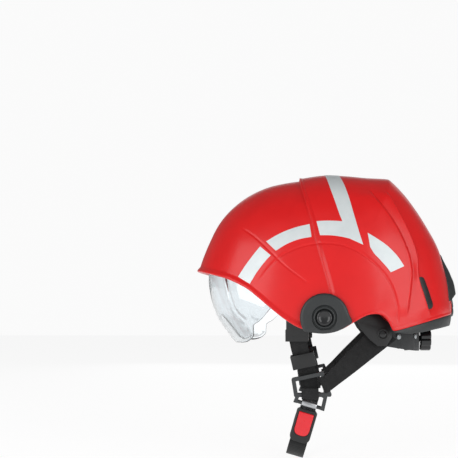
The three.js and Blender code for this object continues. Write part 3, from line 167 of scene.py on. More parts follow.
@dataclass(frozen=True)
class Finish:
    """A material: what it is made of, how its surface was made, and what that gives the eye.

    Sizes are millimetres. tone is how far the colour varies, and dull how far the roughness does.
    """

    name: str
    colour: str
    second: str
    roughness: float
    metallic: float = 0.0
    ior: float = 1.5
    pattern: Pattern = Pattern.PLAIN
    grain: float = 1.0
    relief: float = 0.1
    tone: float = 0.5
    dull: float = 0.08
    coat: float = 0.0
    coat_roughness: float = 0.05
    sheen: float = 0.0
    transmission: float = 0.0
    specular: float = 0.5

    def material(self) -> bpy.types.Material:
        """Makes the material, or returns the one already made.

        Returns:
            The Blender material of that name.
        """
        made = bpy.data.materials.get(self.name)
        if made:
            return made
        made = bpy.data.materials.new(self.name)
        made.use_nodes = True
        tree = made.node_tree
        tree.nodes.clear()
        shader = add_node(
            tree,
            "BsdfPrincipled",
            {
                "Metallic": self.metallic,
                "Coat Weight": self.coat,
                "Coat Roughness": self.coat_roughness,
                "Sheen Weight": self.sheen,
                "Sheen Roughness": 0.4,
                "Transmission Weight": self.transmission,
                "Specular IOR Level": self.specular,
            },
        )
        if self.metallic < 0.5:
            shader.inputs["IOR"].default_value = self.ior
        out = add_node(tree, "OutputMaterial", {"Surface": shader.outputs[0]})
        out.is_active_output = True
        place = add_node(tree, "TexCoord")
        self._colour(tree, shader, place.outputs["Object"])
        height = self._height(tree, place)
        if height is not None:
            bump = add_node(tree, "Bump", {"Height": height, "Strength": 1.0, "Distance": self.relief * MM})
            tree.links.new(bump.outputs[0], shader.inputs["Normal"])
            if self.coat:
                tree.links.new(bump.outputs[0], shader.inputs["Coat Normal"])
        return made

    def _colour(self, tree: bpy.types.NodeTree, shader: bpy.types.Node, where: bpy.types.NodeSocket) -> None:
        """Lets colour and roughness drift over the surface, as handling and moulding leave them.

        Args:
            tree: the material's node tree.
            shader: its surface shader.
            where: the position that drives the drift.
        """
        drift = add_node(
            tree, "TexNoise", {"Vector": where, "Scale": 1 / (DRIFT_SIZE * MM), "Detail": 4.0, "Roughness": 0.6}
        )
        shade = add_node(tree, "Mix", {"A": linear(self.colour), "B": linear(self.second)}, data_type="RGBA")
        span = add_node(
            tree,
            "MapRange",
            {"Value": drift.outputs["Fac"], "From Min": 0.3, "From Max": 0.7, "To Min": 0.0, "To Max": self.tone},
        )
        tree.links.new(span.outputs[0], shade.inputs["Factor"])
        tree.links.new(shade.outputs["Result"], shader.inputs["Base Color"])
        wear = add_node(
            tree, "TexNoise", {"Vector": where, "Scale": 1 / (RUB_SIZE * MM), "Detail": 6.0, "Roughness": 0.7}
        )
        rough = add_node(
            tree,
            "MapRange",
            {
                "Value": wear.outputs["Fac"],
                "From Min": 0.3,
                "From Max": 0.7,
                "To Min": self.roughness,
                "To Max": min(1.0, self.roughness + self.dull),
            },
        )
        tree.links.new(rough.outputs[0], shader.inputs["Roughness"])

    def _height(self, tree: bpy.types.NodeTree, place: bpy.types.Node) -> bpy.types.NodeSocket | None:
        """Makes the relief of the surface pattern.

        Args:
            tree: the material's node tree.
            place: the texture coordinates.

        Returns:
            The height output, or None for a plain surface.
        """
        where = place.outputs["Object"]
        scale = 1 / (self.grain * MM)
        if self.pattern in (Pattern.ORANGE_PEEL, Pattern.MOULD_GRAIN):
            return add_node(tree, "TexNoise", {"Vector": where, "Scale": scale, "Detail": 3.0}).outputs["Fac"]
        if self.pattern in (Pattern.LEATHER, Pattern.BEADS, Pattern.PRISMS, Pattern.KNIT):
            feature = "DISTANCE_TO_EDGE" if self.pattern is Pattern.LEATHER else "F1"
            cells = add_node(tree, "TexVoronoi", {"Vector": where, "Scale": scale}, feature=feature)
            sign = 1.0 if self.pattern is Pattern.LEATHER else -1.0
            raised = add_node(tree, "Math", {0: cells.outputs["Distance"], 1: sign}, operation="MULTIPLY")
            return raised.outputs[0]
        if self.pattern is Pattern.BRUSHED:
            along = add_node(tree, "Mapping", {"Vector": where, "Scale": (scale, scale, scale * 0.03)})
            streaks = add_node(tree, "TexNoise", {"Vector": along.outputs[0], "Scale": 1.0, "Detail": 2.0})
            return streaks.outputs["Fac"]
        if self.pattern is Pattern.WEAVE:
            return self._threads(tree, place.outputs["UV"])
        return None

    def _threads(self, tree: bpy.types.NodeTree, where: bpy.types.NodeSocket) -> bpy.types.NodeSocket:
        """Crossing threads, on a map whose unit is one metre of cloth.

        Args:
            tree: the material's node tree.
            where: the cloth's own map, across and along.

        Returns:
            The height output.
        """
        parts = add_node(tree, "SeparateXYZ", {"Vector": where})
        turn = math.tau / (self.grain * MM)
        waves = []
        for axis, stretch in (("X", 1.0), ("Y", 0.5)):
            angle = add_node(tree, "Math", {0: parts.outputs[axis], 1: turn * stretch}, operation="MULTIPLY")
            waves.append(add_node(tree, "Math", {0: angle.outputs[0]}, operation="SINE"))
        crossed = add_node(tree, "Math", {0: waves[0].outputs[0], 1: waves[1].outputs[0]}, operation="MULTIPLY")
        return add_node(tree, "Math", {0: crossed.outputs[0], 1: 0.5}, operation="MULTIPLY").outputs[0]


# Injection-moulded ABS with a clear lacquer: a deep, even red whose long highlights have soft edges, with a trace
# of orange peel in them.
SHELL_ABS = Finish(
    "lacquered_abs_red", "DB1A1B", "D01517", 0.3, ior=1.5,
    pattern=Pattern.ORANGE_PEEL, grain=9, relief=0.012, tone=0.6, dull=0.05,
    coat=0.25, coat_roughness=0.18, specular=0.3,
)
# Glass-filled nylon from a textured mould: charcoal with a broad, dull sheen.
NYLON_GREY = Finish(
    "textured_nylon_charcoal", "272A2B", "212425", 0.42, ior=1.53,
    pattern=Pattern.MOULD_GRAIN, grain=0.5, relief=0.03, tone=0.6, dull=0.12,
)
# Acetal knobs from a polished mould: near-black with small sharp highlights.
ACETAL_BLACK = Finish(
    "polished_acetal_black", "111214", "17181A", 0.16, ior=1.48,
    pattern=Pattern.MOULD_GRAIN, grain=1.2, relief=0.008, tone=0.5, dull=0.08, coat=0.3,
)
# Moulded nylon fittings: black and satin, rubbed a little shinier in places.
NYLON_BLACK = Finish(
    "moulded_nylon_black", "0D0E0F", "151617", 0.34, ior=1.53,
    pattern=Pattern.MOULD_GRAIN, grain=0.7, relief=0.02, tone=0.6, dull=0.14,
)
# Hard-coated polycarbonate: clear, faintly grey, glass-smooth.
POLYCARBONATE = Finish(
    "hard_coated_polycarbonate", "E6EAEC", "DFE4E7", 0.04, ior=1.585, tone=0.3, dull=0.02, transmission=1.0,
)
# Woven polyester webbing: matt black threads with a soft sheen. The threads are drawn 1.4 mm apart, about twice
# their real spacing, so that they show.
WEBBING_BLACK = Finish(
    "woven_polyester_black", "08090A", "101112", 0.72, ior=1.5,
    pattern=Pattern.WEAVE, grain=1.4, relief=0.22, tone=0.7, dull=0.15, sheen=0.08,
)
# Pressed synthetic leather: charcoal, with a pebbled grain.
LEATHER_GREY = Finish(
    "pressed_leather_charcoal", "2B2D2F", "222426", 0.55, ior=1.5,
    pattern=Pattern.LEATHER, grain=1.6, relief=0.12, tone=0.8, dull=0.15, sheen=0.1,
)
# Retroreflective film: silver-white cells under a clear face.
REFLECTIVE_FILM = Finish(
    "retroreflective_film_silver", "DCE2E3", "CBD2D4", 0.42, metallic=0.15,
    pattern=Pattern.PRISMS, grain=1.8, relief=0.03, tone=0.8, dull=0.1, coat=0.3, coat_roughness=0.15,
)
# Brushed stainless steel: fine streaks along the part.
STAINLESS = Finish(
    "brushed_stainless_steel", "C4C6C8", "AEB1B4", 0.28, metallic=1.0, pattern=Pattern.BRUSHED, grain=0.35,
    relief=0.01, tone=0.6, dull=0.12,
)
# Blackened steel screws: dark, with soft metallic highlights.
BLACK_OXIDE = Finish(
    "black_oxide_steel", "2C2D2F", "222325", 0.32, metallic=0.9, pattern=Pattern.BRUSHED, grain=0.35,
    relief=0.01, tone=0.6, dull=0.12,
)
# Zinc-plated rivets: paler and duller than the steel.
ZINC_PLATE = Finish(
    "zinc_plated_rivets", "B9BDBF", "9EA3A6", 0.4, metallic=0.85,
    pattern=Pattern.MOULD_GRAIN, grain=0.6, relief=0.02, tone=0.8, dull=0.15,
)
# Moulded ABS button: bright, slightly translucent-looking red.
BUTTON_ABS = Finish(
    "moulded_abs_signal_red", "E0202B", "D31822", 0.26, ior=1.5,
    pattern=Pattern.MOULD_GRAIN, grain=1.5, relief=0.01, tone=0.5, dull=0.1, coat=0.2,
)
# Grey acetal divider frames: satin slate.
ACETAL_SLATE = Finish(
    "moulded_acetal_slate", "303335", "26292B", 0.26, ior=1.48,
    pattern=Pattern.MOULD_GRAIN, grain=0.8, relief=0.015, tone=0.8, dull=0.12, coat=0.25,
)
# Expanded polystyrene: dull black beads.
POLYSTYRENE = Finish(
    "expanded_polystyrene_black", "1B1C1E", "242628", 0.85, ior=1.5,
    pattern=Pattern.BEADS, grain=4, relief=0.5, tone=0.7, dull=0.1,
)
# Knitted cover of the brow and nape pads: soft, very dark loops. They are drawn 2.2 mm apart, coarser than real
# loops, so that they show.
KNIT_BLACK = Finish(
    "knitted_polyester_black", "17181A", "222427", 0.88, ior=1.5,
    pattern=Pattern.KNIT, grain=2.2, relief=0.35, tone=0.7, dull=0.1, sheen=0.35,
)


# ---------------------------------------------------------------- meshes
def make_piece(
    name: str,
    points: Array,
    faces: Iterable[Sequence[int]],
    finish: Finish,
    body: Body,
    replaces: Sequence[str] = (),
    cloth_map: Array | None = None,
    sharp: float = 40.0,
) -> bpy.types.Object:
    """Makes a mesh object in the helmet's frame, dresses it and puts it on its body.

    Args:
        name: the object's name.
        points: vertices in millimetres, one row each.
        faces: vertex numbers of each face, counter-clockwise from outside.
        finish: its material.
        body: the rigid body that carries it.
        replaces: CAD nodes that it stands for.
        cloth_map: across and along of each vertex in millimetres, for a weave.
        sharp: degrees above which an edge is shaded as an edge.

    Returns:
        The new object.
    """
    mesh = bpy.data.meshes.new(name)
    mesh.from_pydata((np.asarray(points, float) * MM).tolist(), [], [tuple(int(i) for i in f) for f in faces])
    if cloth_map is not None:
        layer = mesh.uv_layers.new(name="cloth")
        loops = np.empty(len(mesh.loops), np.int32)
        mesh.loops.foreach_get("vertex_index", loops)
        layer.data.foreach_set("uv", (np.asarray(cloth_map, float)[loops] * MM).astype(np.float32).ravel())
    obj = bpy.data.objects.new(name, mesh)
    bpy.context.collection.objects.link(obj)
    return dress(obj, finish, body, replaces, sharp)


def dress(
    obj: bpy.types.Object,
    finish: Finish,
    body: Body,
    replaces: Sequence[str] = (),
    sharp: float = 40.0,
) -> bpy.types.Object:
    """Shades a new object, gives it its finish and puts it on its body.

    Args:
        obj: the object, already in the helmet's frame.
        finish: its material.
        body: the rigid body that carries it.
        replaces: CAD nodes that it stands for.
        sharp: degrees above which an edge is shaded as an edge.

    Returns:
        The same object.
    """
    mesh = obj.data
    mesh.validate()
    mesh.shade_smooth()
    mesh.set_sharp_from_angle(angle=math.radians(sharp))
    mesh.materials.clear()
    mesh.materials.append(finish.material())
    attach(obj, body.value)
    if replaces:
        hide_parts(*replaces)
    LOG.info("%s: %d faces on %s", obj.name, len(mesh.polygons), body.value)
    return obj


def grid_faces(rows: int, columns: int, closed: bool = False, first: int = 0, flip: bool = False) -> Faces:
    """Quads of a grid of vertices numbered row by row.

    Args:
        rows: how many rows of vertices.
        columns: how many vertices in a row.
        closed: whether the last column joins the first.
        first: number of the grid's first vertex.
        flip: whether to turn every face round.

    Returns:
        The quads.
    """
    across = columns if closed else columns - 1
    quads = []
    for r in range(rows - 1):
        for c in range(across):
            d = (c + 1) % columns
            quad = (r * columns + c, r * columns + d, (r + 1) * columns + d, (r + 1) * columns + c)
            quads.append(tuple(first + i for i in (reversed(quad) if flip else quad)))
    return quads


def apply_modifiers(obj: bpy.types.Object) -> None:
    """Makes the result of an object's modifiers its mesh.

    Args:
        obj: the object to change.
    """
    graph = bpy.context.evaluated_depsgraph_get()
    graph.update()
    result = obj.evaluated_get(graph)
    made = bpy.data.meshes.new_from_object(result, preserve_all_data_layers=True, depsgraph=graph)
    obj.modifiers.clear()
    old = obj.data
    obj.data = made
    bpy.data.meshes.remove(old)


def refine(
    node: str,
    name: str,
    finish: Finish,
    body: Body,
    round_edges: float = 0.5,
    segments: int = 2,
    sharp: float = 40.0,
    edge_angle: float = 32.0,
    woven: bool = False,
) -> bpy.types.Object:
    """Makes a finished copy of a hard CAD part, with its flats merged and its edges rounded.

    Args:
        node: the CAD node.
        name: the new object's name.
        finish: its material.
        body: the rigid body that carries it.
        round_edges: radius of the rounded edges.
        segments: steps round an edge.
        sharp: degrees above which an edge is shaded as an edge.
        edge_angle: degrees above which an edge is rounded.
        woven: whether it is a strap whose threads run along it.

    Returns:
        The new object, which stands for the node.
    """
    source = bpy.data.objects[node]
    mesh = source.data.copy()
    mesh.name = name
    work = bmesh.new()
    work.from_mesh(mesh)
    bmesh.ops.remove_doubles(work, verts=work.verts, dist=0.02 * MM)
    bmesh.ops.dissolve_limit(
        work, angle_limit=math.radians(1.5), use_dissolve_boundaries=False, verts=work.verts, edges=work.edges
    )
    work.to_mesh(mesh)
    work.free()
    obj = bpy.data.objects.new(name, mesh)
    bpy.context.collection.objects.link(obj)
    if round_edges > 0:
        rounding = obj.modifiers.new("rounded edges", "BEVEL")
        rounding.width = round_edges * MM
        rounding.segments = segments
        rounding.limit_method = "ANGLE"
        rounding.angle_limit = math.radians(edge_angle)
        rounding.use_clamp_overlap = True
        rounding.harden_normals = False
        apply_modifiers(obj)
    if woven:
        lay_threads(obj)
    return dress(obj, finish, body, (node,), sharp)


BOWED_SHARE = 0.35  # a strap is an arc, not a run, when it is this deep for its length
HANGING_RADIUS = 65  # mm, of the arc that the chin strap hangs in


def lay_threads(obj: bpy.types.Object) -> None:
    """Maps a strap across and along, in metres: along its longest way, or round the arc that it hangs in.

    Args:
        obj: the strap.
    """
    mesh = obj.data
    flat = np.empty(len(mesh.vertices) * 3)
    mesh.vertices.foreach_get("co", flat)
    p = flat.reshape(-1, 3)
    centred = p - p.mean(axis=0)
    _, spread, ways = np.linalg.svd(centred, full_matrices=False)
    bowed = spread[1] > BOWED_SHARE * spread[0]
    across_helmet = np.ptp(p[:, 1]) < np.ptp(p[:, 0]) / 2
    if bowed and across_helmet:
        hub = np.array([p[:, 0].mean(), p[:, 2].max()])
        turn = np.arctan2(p[:, 2] - hub[1], p[:, 0] - hub[0])
        cloth = np.stack([p[:, 1], turn * HANGING_RADIUS * MM], axis=1)
    else:
        cloth = np.stack([centred @ ways[1], centred @ ways[0]], axis=1)
    layer = mesh.uv_layers.new(name="cloth")
    loops = np.empty(len(mesh.loops), np.int32)
    mesh.loops.foreach_get("vertex_index", loops)
    layer.data.foreach_set("uv", cloth[loops].astype(np.float32).ravel())


def turned(profile: Sequence[tuple[float, float]], steps: int, matrix: Matrix) -> tuple[Array, Faces]:
    """A turned solid from its profile.

    Args:
        profile: radius and height pairs from the foot to the top; a radius of zero closes an end.
        steps: steps round the axis.
        matrix: places local Z and the origin, in millimetres.

    Returns:
        Points and faces.
    """
    turns = np.arange(steps) * math.tau / steps
    rows = [[(r * math.cos(a), r * math.sin(a), h) for a in turns] for r, h in profile]
    points = np.array(rows).reshape(-1, 3)
    placed = points @ np.array(matrix.to_3x3()).T + np.array(matrix.translation)
    return placed, grid_faces(len(profile), steps, closed=True)


def catmull(points: Sequence[Point], steps: int) -> Array:
    """A smooth curve through points.

    Args:
        points: at least two points.
        steps: how many pieces to cut it into.

    Returns:
        steps + 1 points, evenly spaced along the curve.
    """
    p = np.asarray(points, float)
    p = np.vstack([2 * p[0] - p[1], p, 2 * p[-1] - p[-2]])
    dense = []
    for i in range(1, len(p) - 2):
        t = np.linspace(0, 1, 24, endpoint=False)[:, None]
        a, b, c, d = p[i - 1], p[i], p[i + 1], p[i + 2]
        dense.append(
            0.5 * (2 * b + (c - a) * t + (2 * a - 5 * b + 4 * c - d) * t**2 + (3 * b - a - 3 * c + d) * t**3)
        )
    dense.append(p[-2][None])
    line = np.vstack(dense)
    run = np.concatenate([[0], np.cumsum(np.linalg.norm(np.diff(line, axis=0), axis=1))])
    want = np.linspace(0, run[-1], steps + 1)
    return np.stack([np.interp(want, run, line[:, k]) for k in range(line.shape[1])], axis=1)


def ease(x: Array | float, low: float, high: float) -> Array:
    """A smooth step from 0 at low to 1 at high.

    Args:
        x: the value or values.
        low: where it starts.
        high: where it ends.

    Returns:
        The step's height.
    """
    t = np.clip((np.asarray(x, float) - low) / (high - low), 0, 1)
    return t * t * (3 - 2 * t)


def line_distance(points: Array, line: Array) -> tuple[Array, Array]:
    """Distance from points to a line of points, and how far along it they are.

    Args:
        points: rows of coordinates.
        line: the line's points, in as many coordinates.

    Returns:
        The distances, and the share of the line's length, from 0 to 1.
    """
    best = np.full(len(points), 1e9)
    where = np.zeros(len(points))
    lengths = np.linalg.norm(np.diff(line, axis=0), axis=1)
    starts = np.concatenate([[0], np.cumsum(lengths)])
    for i, (a, b) in enumerate(zip(line[:-1], line[1:])):
        d = b - a
        t = np.clip(((points - a) @ d) / (d @ d), 0, 1)
        gap = np.linalg.norm(points - (a + t[:, None] * d), axis=1)
        nearer = gap < best
        best[nearer] = gap[nearer]
        where[nearer] = (starts[i] + t[nearer] * lengths[i]) / starts[-1]
    return best, where


# ---------------------------------------------------------------- the helmet's curved surfaces
def outline_table(*runs: Sequence[tuple[float, float]], blur: float = 1.0) -> tuple[Array, Array]:
    """Smooths an outline given in polar form, keeping a corner where one run of points meets the next.

    Args:
        *runs: degrees up from the front horizon and distances, in order.
        blur: degrees over which corners are rounded.

    Returns:
        Evenly spaced degrees, and the distance at each.
    """
    curves = [catmull(run, 400) for run in runs]
    line = np.vstack(curves)
    degrees = np.arange(line[0, 0], line[-1, 0], 0.1)
    radius = np.interp(degrees, line[:, 0], line[:, 1])
    width = int(blur / 0.1) | 1
    kernel = np.hanning(width + 2)[1:-1]
    padded = np.pad(radius, width // 2, mode="edge")
    return degrees, np.convolve(padded, kernel / kernel.sum(), mode="valid")


@dataclass
class Dome:
    """A surface whose sections through the pivot axis share one superellipse, scaled to an outline.

    The outline has a corner behind the crown. corner_drift is how many degrees that corner leans back where the
    surface is corner_half to the side, and corner_turn and corner_spread say at which turn it lies and how widely
    the lean fades. Further aside than side_blend, side_table's smoother outline takes over.
    """

    half_width: float
    table: tuple[Array, Array]
    power: float = 2.45
    corner_drift: float = 0.0
    corner_half: float = 63.0
    corner_most: float = 1.6
    corner_turn: float = 116.0
    corner_spread: float = 14.0
    side_table: tuple[Array, Array] | None = None
    side_blend: tuple[float, float] = (62.0, 94.0)
    middle: Point = (0.0, 9.0, 60.0)

    def degrees(self, p: Array) -> Array:
        """Degrees up from the front horizon, from -90 to 270."""
        return (np.degrees(np.arctan2(p[:, 2], -p[:, 1])) + 90) % 360 - 90

    def level(self, p: Array, grow: float = 0.0) -> Array:
        """Tells how far outside the surface points are.

        Args:
            p: points.
            grow: how far outside the dome the surface lies.

        Returns:
            Below zero inside, zero on the surface, above zero outside.
        """
        turn = self.degrees(p)
        if self.corner_drift:
            aside = np.minimum((p[:, 0] / self.corner_half) ** 2, self.corner_most)
            lean = aside * np.exp(-(((turn - self.corner_turn) / self.corner_spread) ** 2))
            turn = turn - self.corner_drift * lean
        radius = np.interp(turn, *self.table) + grow
        if self.side_table is not None:
            smooth = np.interp(turn, *self.side_table) + grow
            radius += (smooth - radius) * ease(np.abs(p[:, 0]), *self.side_blend)
        share = np.hypot(p[:, 1], p[:, 2]) / radius
        return (np.abs(p[:, 0]) / (self.half_width + grow)) ** self.power + share**self.power - 1

    def cast(self, directions: Array, grow: float = 0.0, start: Array | None = None, reach: float = 300.0) -> Array:
        """Finds where rays from inside leave the surface.

        Args:
            directions: one row for each ray.
            grow: how far outside the dome the surface lies.
            start: where the rays start; the dome's middle if not given.
            reach: the longest way to the surface.

        Returns:
            The points.
        """
        start = np.asarray(self.middle if start is None else start, float)
        rays = directions / np.linalg.norm(directions, axis=1)[:, None]
        low = np.zeros(len(rays))
        high = np.full(len(rays), reach)
        for _ in range(32):
            mid = (low + high) / 2
            inside = self.level(start + rays * mid[:, None], grow) < 0
            low = np.where(inside, mid, low)
            high = np.where(inside, high, mid)
        return start + rays * high[:, None]

    def onto(self, p: Array, grow: float = 0.0) -> Array:
        """Moves points onto the surface, straight out from the dome's middle."""
        return self.cast(np.asarray(p, float) - np.asarray(self.middle), grow)

    def normals(self, p: Array) -> Array:
        """Outward directions of the surface at points on it."""
        step = 0.2
        slope = [self.level(p + step * e) - self.level(p - step * e) for e in np.eye(3)]
        out = np.stack(slope, axis=1)
        return out / np.linalg.norm(out, axis=1)[:, None]

    def rear(self, x: Array, z: Array, grow: float = 0.0) -> Array:
        """Points of the back of the dome, at places across and up."""
        start = np.stack([x, np.zeros_like(x), z], axis=1)
        return self.cast(np.tile((0.0, 1.0, 0.0), (len(x), 1)), grow, start)


SHELL_DOME = Dome(
    105.0,
    outline_table(
        [(-90, 110), (-45, 125), (0, 146), (20, 150.6), (31.6, 153.8), (43.2, 159.0), (54.2, 160.7), (64.8, 159.6),
         (72.7, 157.1), (79.2, 155.4), (84, 155.6), (90.4, 157.2), (96.6, 158.4), (105.7, 162.3), (114.4, 170.2)],
        [(114.4, 170.2), (121.4, 164.2), (129.9, 157.2), (138.7, 151.6), (149.4, 147.4), (156.7, 143.7),
         (169.2, 141.1), (175.4, 141.0), (183, 138.8), (190, 137), (225, 120), (270, 110)],
        blur=1.6,
    ),
    corner_drift=2.0,
    side_table=outline_table(
        [(-90, 110), (-45, 125), (0, 146), (20, 150.6), (31.6, 153.8), (43.2, 159.0), (54.2, 160.7), (64.8, 159.6),
         (72.7, 157.8), (84, 157.2), (96.6, 158.6), (108, 161.0), (117, 161.5), (125, 159.4), (133, 155.8),
         (141, 151.6), (149.4, 147.6), (156.7, 144.0), (169.2, 141.1), (175.4, 141.0), (183, 138.8), (190, 137),
         (225, 120), (270, 110)],
        blur=6,
    ),
)
VISOR_DOME = Dome(
    95.1,
    outline_table([(-90, 90), (-45, 95), (-14, 106.6), (1, 121.6), (11, 131.3), (19, 138.5), (27, 142.5), (60, 146),
                   (110, 135), (180, 115), (270, 90)], blur=3),
    middle=(0.0, 0.0, 10.0),
)

# Lower edges seen from the side, as y and z: the shell's, and the top and bottom of the rear trim.
RIM = catmull([(-155, 54.5), (-143.6, 52.2), (-117, 45.8), (-98.5, 40.2), (-79, 30.6), (-65, 19.7), (-51, 8.1),
               (-37, -2.5), (-22, -10.4), (0, -14.3), (16, -11.3), (30, -3.4), (42, 3), (52, 4.6), (60, 2.8),
               (66, -3.5), (70, -10.5), (74, -12.4), (101, -5), (125, 1.4), (155, 8)], 500)
TRIM_TOP = catmull([(70, -13), (73, -12.6), (101, -5), (125, 1.4), (150, 7.5)], 80)
TRIM_BOTTOM = catmull([(70, -14.6), (73, -14.8), (84, -16), (98, -15.2), (112, -12.8), (134, -9.2), (150, -8)], 80)


@dataclass
class Boss:
    """The round seat of the rear knob: a tube in the shell's back, tilted up a little."""

    centre: Point = (0.0, 141.792, 17.0)
    tilt: float = 8.0
    radius: float = 20.7
    well: float = 16.5
    proud: float = 2.5
    depth: float = 13.0

    @property
    def axis(self) -> Array:
        """Direction out of the boss."""
        turn = math.radians(self.tilt)
        return np.array([0.0, math.cos(turn), math.sin(turn)])

    @property
    def frame(self) -> Matrix:
        """Local Z out of the boss, local Y up its face."""
        out = Vector(self.axis)
        aside = Vector((-1, 0, 0))
        up = out.cross(aside)
        return Matrix.Translation(Vector(self.centre)) @ Matrix((aside, up, out)).transposed().to_4x4()

    def distance(self, p: Array) -> tuple[Array, Array]:
        """Distances of points from the axis, and along it."""
        local = p - np.asarray(self.centre)
        along = local @ self.axis
        return np.linalg.norm(local - along[:, None] * self.axis, axis=1), along


@dataclass
class Shell:
    """The lacquered outer shell, its boss and its reflective film."""

    wall: float = 3.0
    columns: int = 900
    rows: int = 270
    rib_step: float = 2.6
    rib_crest: float = 1.7
    rib_run: float = 3.7
    rib_line: Sequence[Point] = (
        (-29.5, 170), (-28.4, 154.1), (-26.7, 145.1), (-18.7, 117.5), (-12.1, 97.1), (-7.5, 76.6), (-1.2, 54.6),
        (6.4, 26.8), (12, 5),
    )
    arc_crease: Sequence[Point] = (
        (-74.5, 27.6), (-72.0, 31.3), (-65.8, 38.6), (-57.4, 49.8), (-48.2, 59.2), (-38.9, 65.6), (-23.4, 72.0),
        (-8.0, 75.0), (4.0, 75.4), (16.0, 73.9), (28.4, 69.6), (42.8, 61.0), (57.3, 48.0), (66.7, 34.4),
        (71.9, 18.8), (74.5, 3.3), (74.1, -10),
    )
    slant_crease: Sequence[Point] = ((-88.5, 95.0), (-70.9, 82.4), (-55.6, 68.0), (-38.7, 51.6), (-17.0, 35.0))
    outer_step: Sequence[Point] = (
        (47.0, 133.0), (52.6, 124.5), (57.8, 117.8), (67.2, 104.9), (75.6, 91.0), (82.8, 75.0), (87.3, 61.3),
        (89.1, 45.4), (87.7, 31.9), (85.4, 16.5), (82.7, 0.2),
    )
    inner_step: Sequence[Point] = (
        (60.0, 138.0), (66.6, 129.6), (72.8, 119.0), (79.0, 107.5), (85.8, 93.5), (91.0, 80.0), (95.5, 64.0),
        (95.6, 50.0), (97.2, 38.0), (101.8, 24.0), (106.4, 10.0), (109.5, 0.0),
    )
    step_height: float = 1.5
    step_run: float = 2.4
    side_run: float = 30.0
    panel_run: float = 20.0
    lip: float = 2.0
    lip_width: float = 6.0
    edge_roll: float = 1.6
    collar_proud: float = 1.3
    collar_rise: float = 0.9
    boss: Boss = field(default_factory=Boss)

    def build(self) -> None:
        """Builds the shell, its boss ring and the film."""
        self._skin()
        self._boss_ring()
        self._film()

    def rim_height(self, y: Array) -> Array:
        """Height of the shell's lower edge at places along the helmet."""
        return np.interp(y, RIM[:, 0], RIM[:, 1])

    def details(self, p: Array) -> Array:
        """How far the moulded details lift the surface at points on the dome.

        Args:
            p: points on the dome.

        Returns:
            Millimetres outward.
        """
        side = p[:, 1:]
        lift = np.zeros(len(p))
        rib = catmull(self.rib_line, 120)[::-1]
        slope = np.gradient(rib[:, 0], rib[:, 1])
        behind = (p[:, 1] - np.interp(p[:, 2], rib[:, 1], rib[:, 0])) / np.hypot(
            1, np.interp(p[:, 2], rib[:, 1], slope)
        )
        x = np.abs(p[:, 0])
        turn = SHELL_DOME.degrees(p)
        plateau = (1 - ease(turn, 82, 112)) * (1 - ease(x, 60, 97))
        above = ease(p[:, 2], 18, 30)
        lift += self.rib_step * plateau * ease(behind, -0.8, 0.6) * above
        slope_down = 1 - np.clip(behind / self.rib_run, 0, 1)
        lift += self.rib_crest * ease(behind, -0.9, 0.2) * slope_down * above * (0.55 + 0.45 * ease(x, 20, 60))
        for line, depth, half in (
            (self.arc_crease, 0.7, 0.9),
            (self.slant_crease, 0.6, 0.85),
        ):
            curve = catmull(line, 60)
            low, high = curve.min(axis=0) - 8, curve.max(axis=0) + 8
            near = np.flatnonzero(((side > low) & (side < high)).all(axis=1) & (x > 20))
            gap, share = line_distance(side[near], curve)
            fade = ease(share, 0, 0.16) * (1 - ease(share, 0.94, 1.0))
            lift[near] -= depth * np.exp(-((gap / half) ** 2)) * fade
        return lift + self._stair(p)

    def _stair(self, p: Array) -> Array:
        """Lift of the two steps that lead from each side down to the rear panel.

        Args:
            p: points on the dome.

        Returns:
            Millimetres outward.
        """
        outer, inner = (catmull(line, 60)[::-1] for line in (self.outer_step, self.inner_step))
        past_outer = p[:, 1] - np.interp(p[:, 2], outer[:, 1], outer[:, 0])
        past_inner = p[:, 1] - np.interp(p[:, 2], inner[:, 1], inner[:, 0])
        crest, wall = self.step_height, self.step_run
        side = crest * ease(past_outer, -self.side_run, -1)
        ledge_share = np.clip((past_outer - wall) / np.maximum(past_outer - wall - past_inner, 0.5), 0, 1)
        ledge = -0.8 * crest + 1.8 * crest * ledge_share
        panel = -0.9 * crest * (1 - ease(past_inner, wall, self.panel_run))
        lift = side + (ledge - side) * ease(past_outer, -0.8, wall)
        lift += (panel - lift) * ease(past_inner, -0.8, wall)
        height = ease(p[:, 2], 0, 14) * (1 - ease(p[:, 2], 124, 136))
        return lift * height * ease(np.abs(p[:, 0]), 30, 45)

    def _skin(self) -> None:
        """The shell's outside, inside and rolled edge, as one closed surface."""
        n, m = self.columns, self.rows
        around = np.arange(n) * math.tau / n

        def ray(tilt: Array) -> Array:
            """Directions at a tilt from straight up, one for each column."""
            flat = np.sin(tilt)
            return np.stack([flat * np.cos(around), flat * np.sin(around), np.cos(tilt)], axis=1)

        low, high = np.full(n, 0.6), np.full(n, 2.6)
        for _ in range(30):
            tilt = (low + high) / 2
            p = SHELL_DOME.cast(ray(tilt))
            above = p[:, 2] > self.rim_height(p[:, 1])
            low, high = np.where(above, tilt, low), np.where(above, high, tilt)
        shares = np.linspace(0.004, 1, m)
        outside = np.concatenate([SHELL_DOME.cast(ray(high * s)) for s in shares])
        normal = SHELL_DOME.normals(outside)
        lift = self.details(outside)
        grid = outside.reshape(m, n, 3)
        steps = np.linalg.norm(np.diff(grid, axis=0), axis=2)
        to_rim = np.concatenate([np.cumsum(steps[::-1], axis=0)[::-1], np.zeros((1, n))]).ravel()
        front = 1 - ease(outside[:, 1], -30, 20)
        lift += self.lip * front * (1 - ease(to_rim, 0.5, self.lip_width))
        lift += 0.5 * (1 - ease(to_rim, 0.5, 2.5)) * (1 - front)
        skin = outside + normal * lift[:, None]
        radial, along = self.boss.distance(skin)
        sunk = (1 - ease(radial, 18.2, 19.4)) * (along > -30) * (skin[:, 1] > 100)
        skin -= self.boss.axis * (sunk * (along + self.boss.depth - 0.6))[:, None]

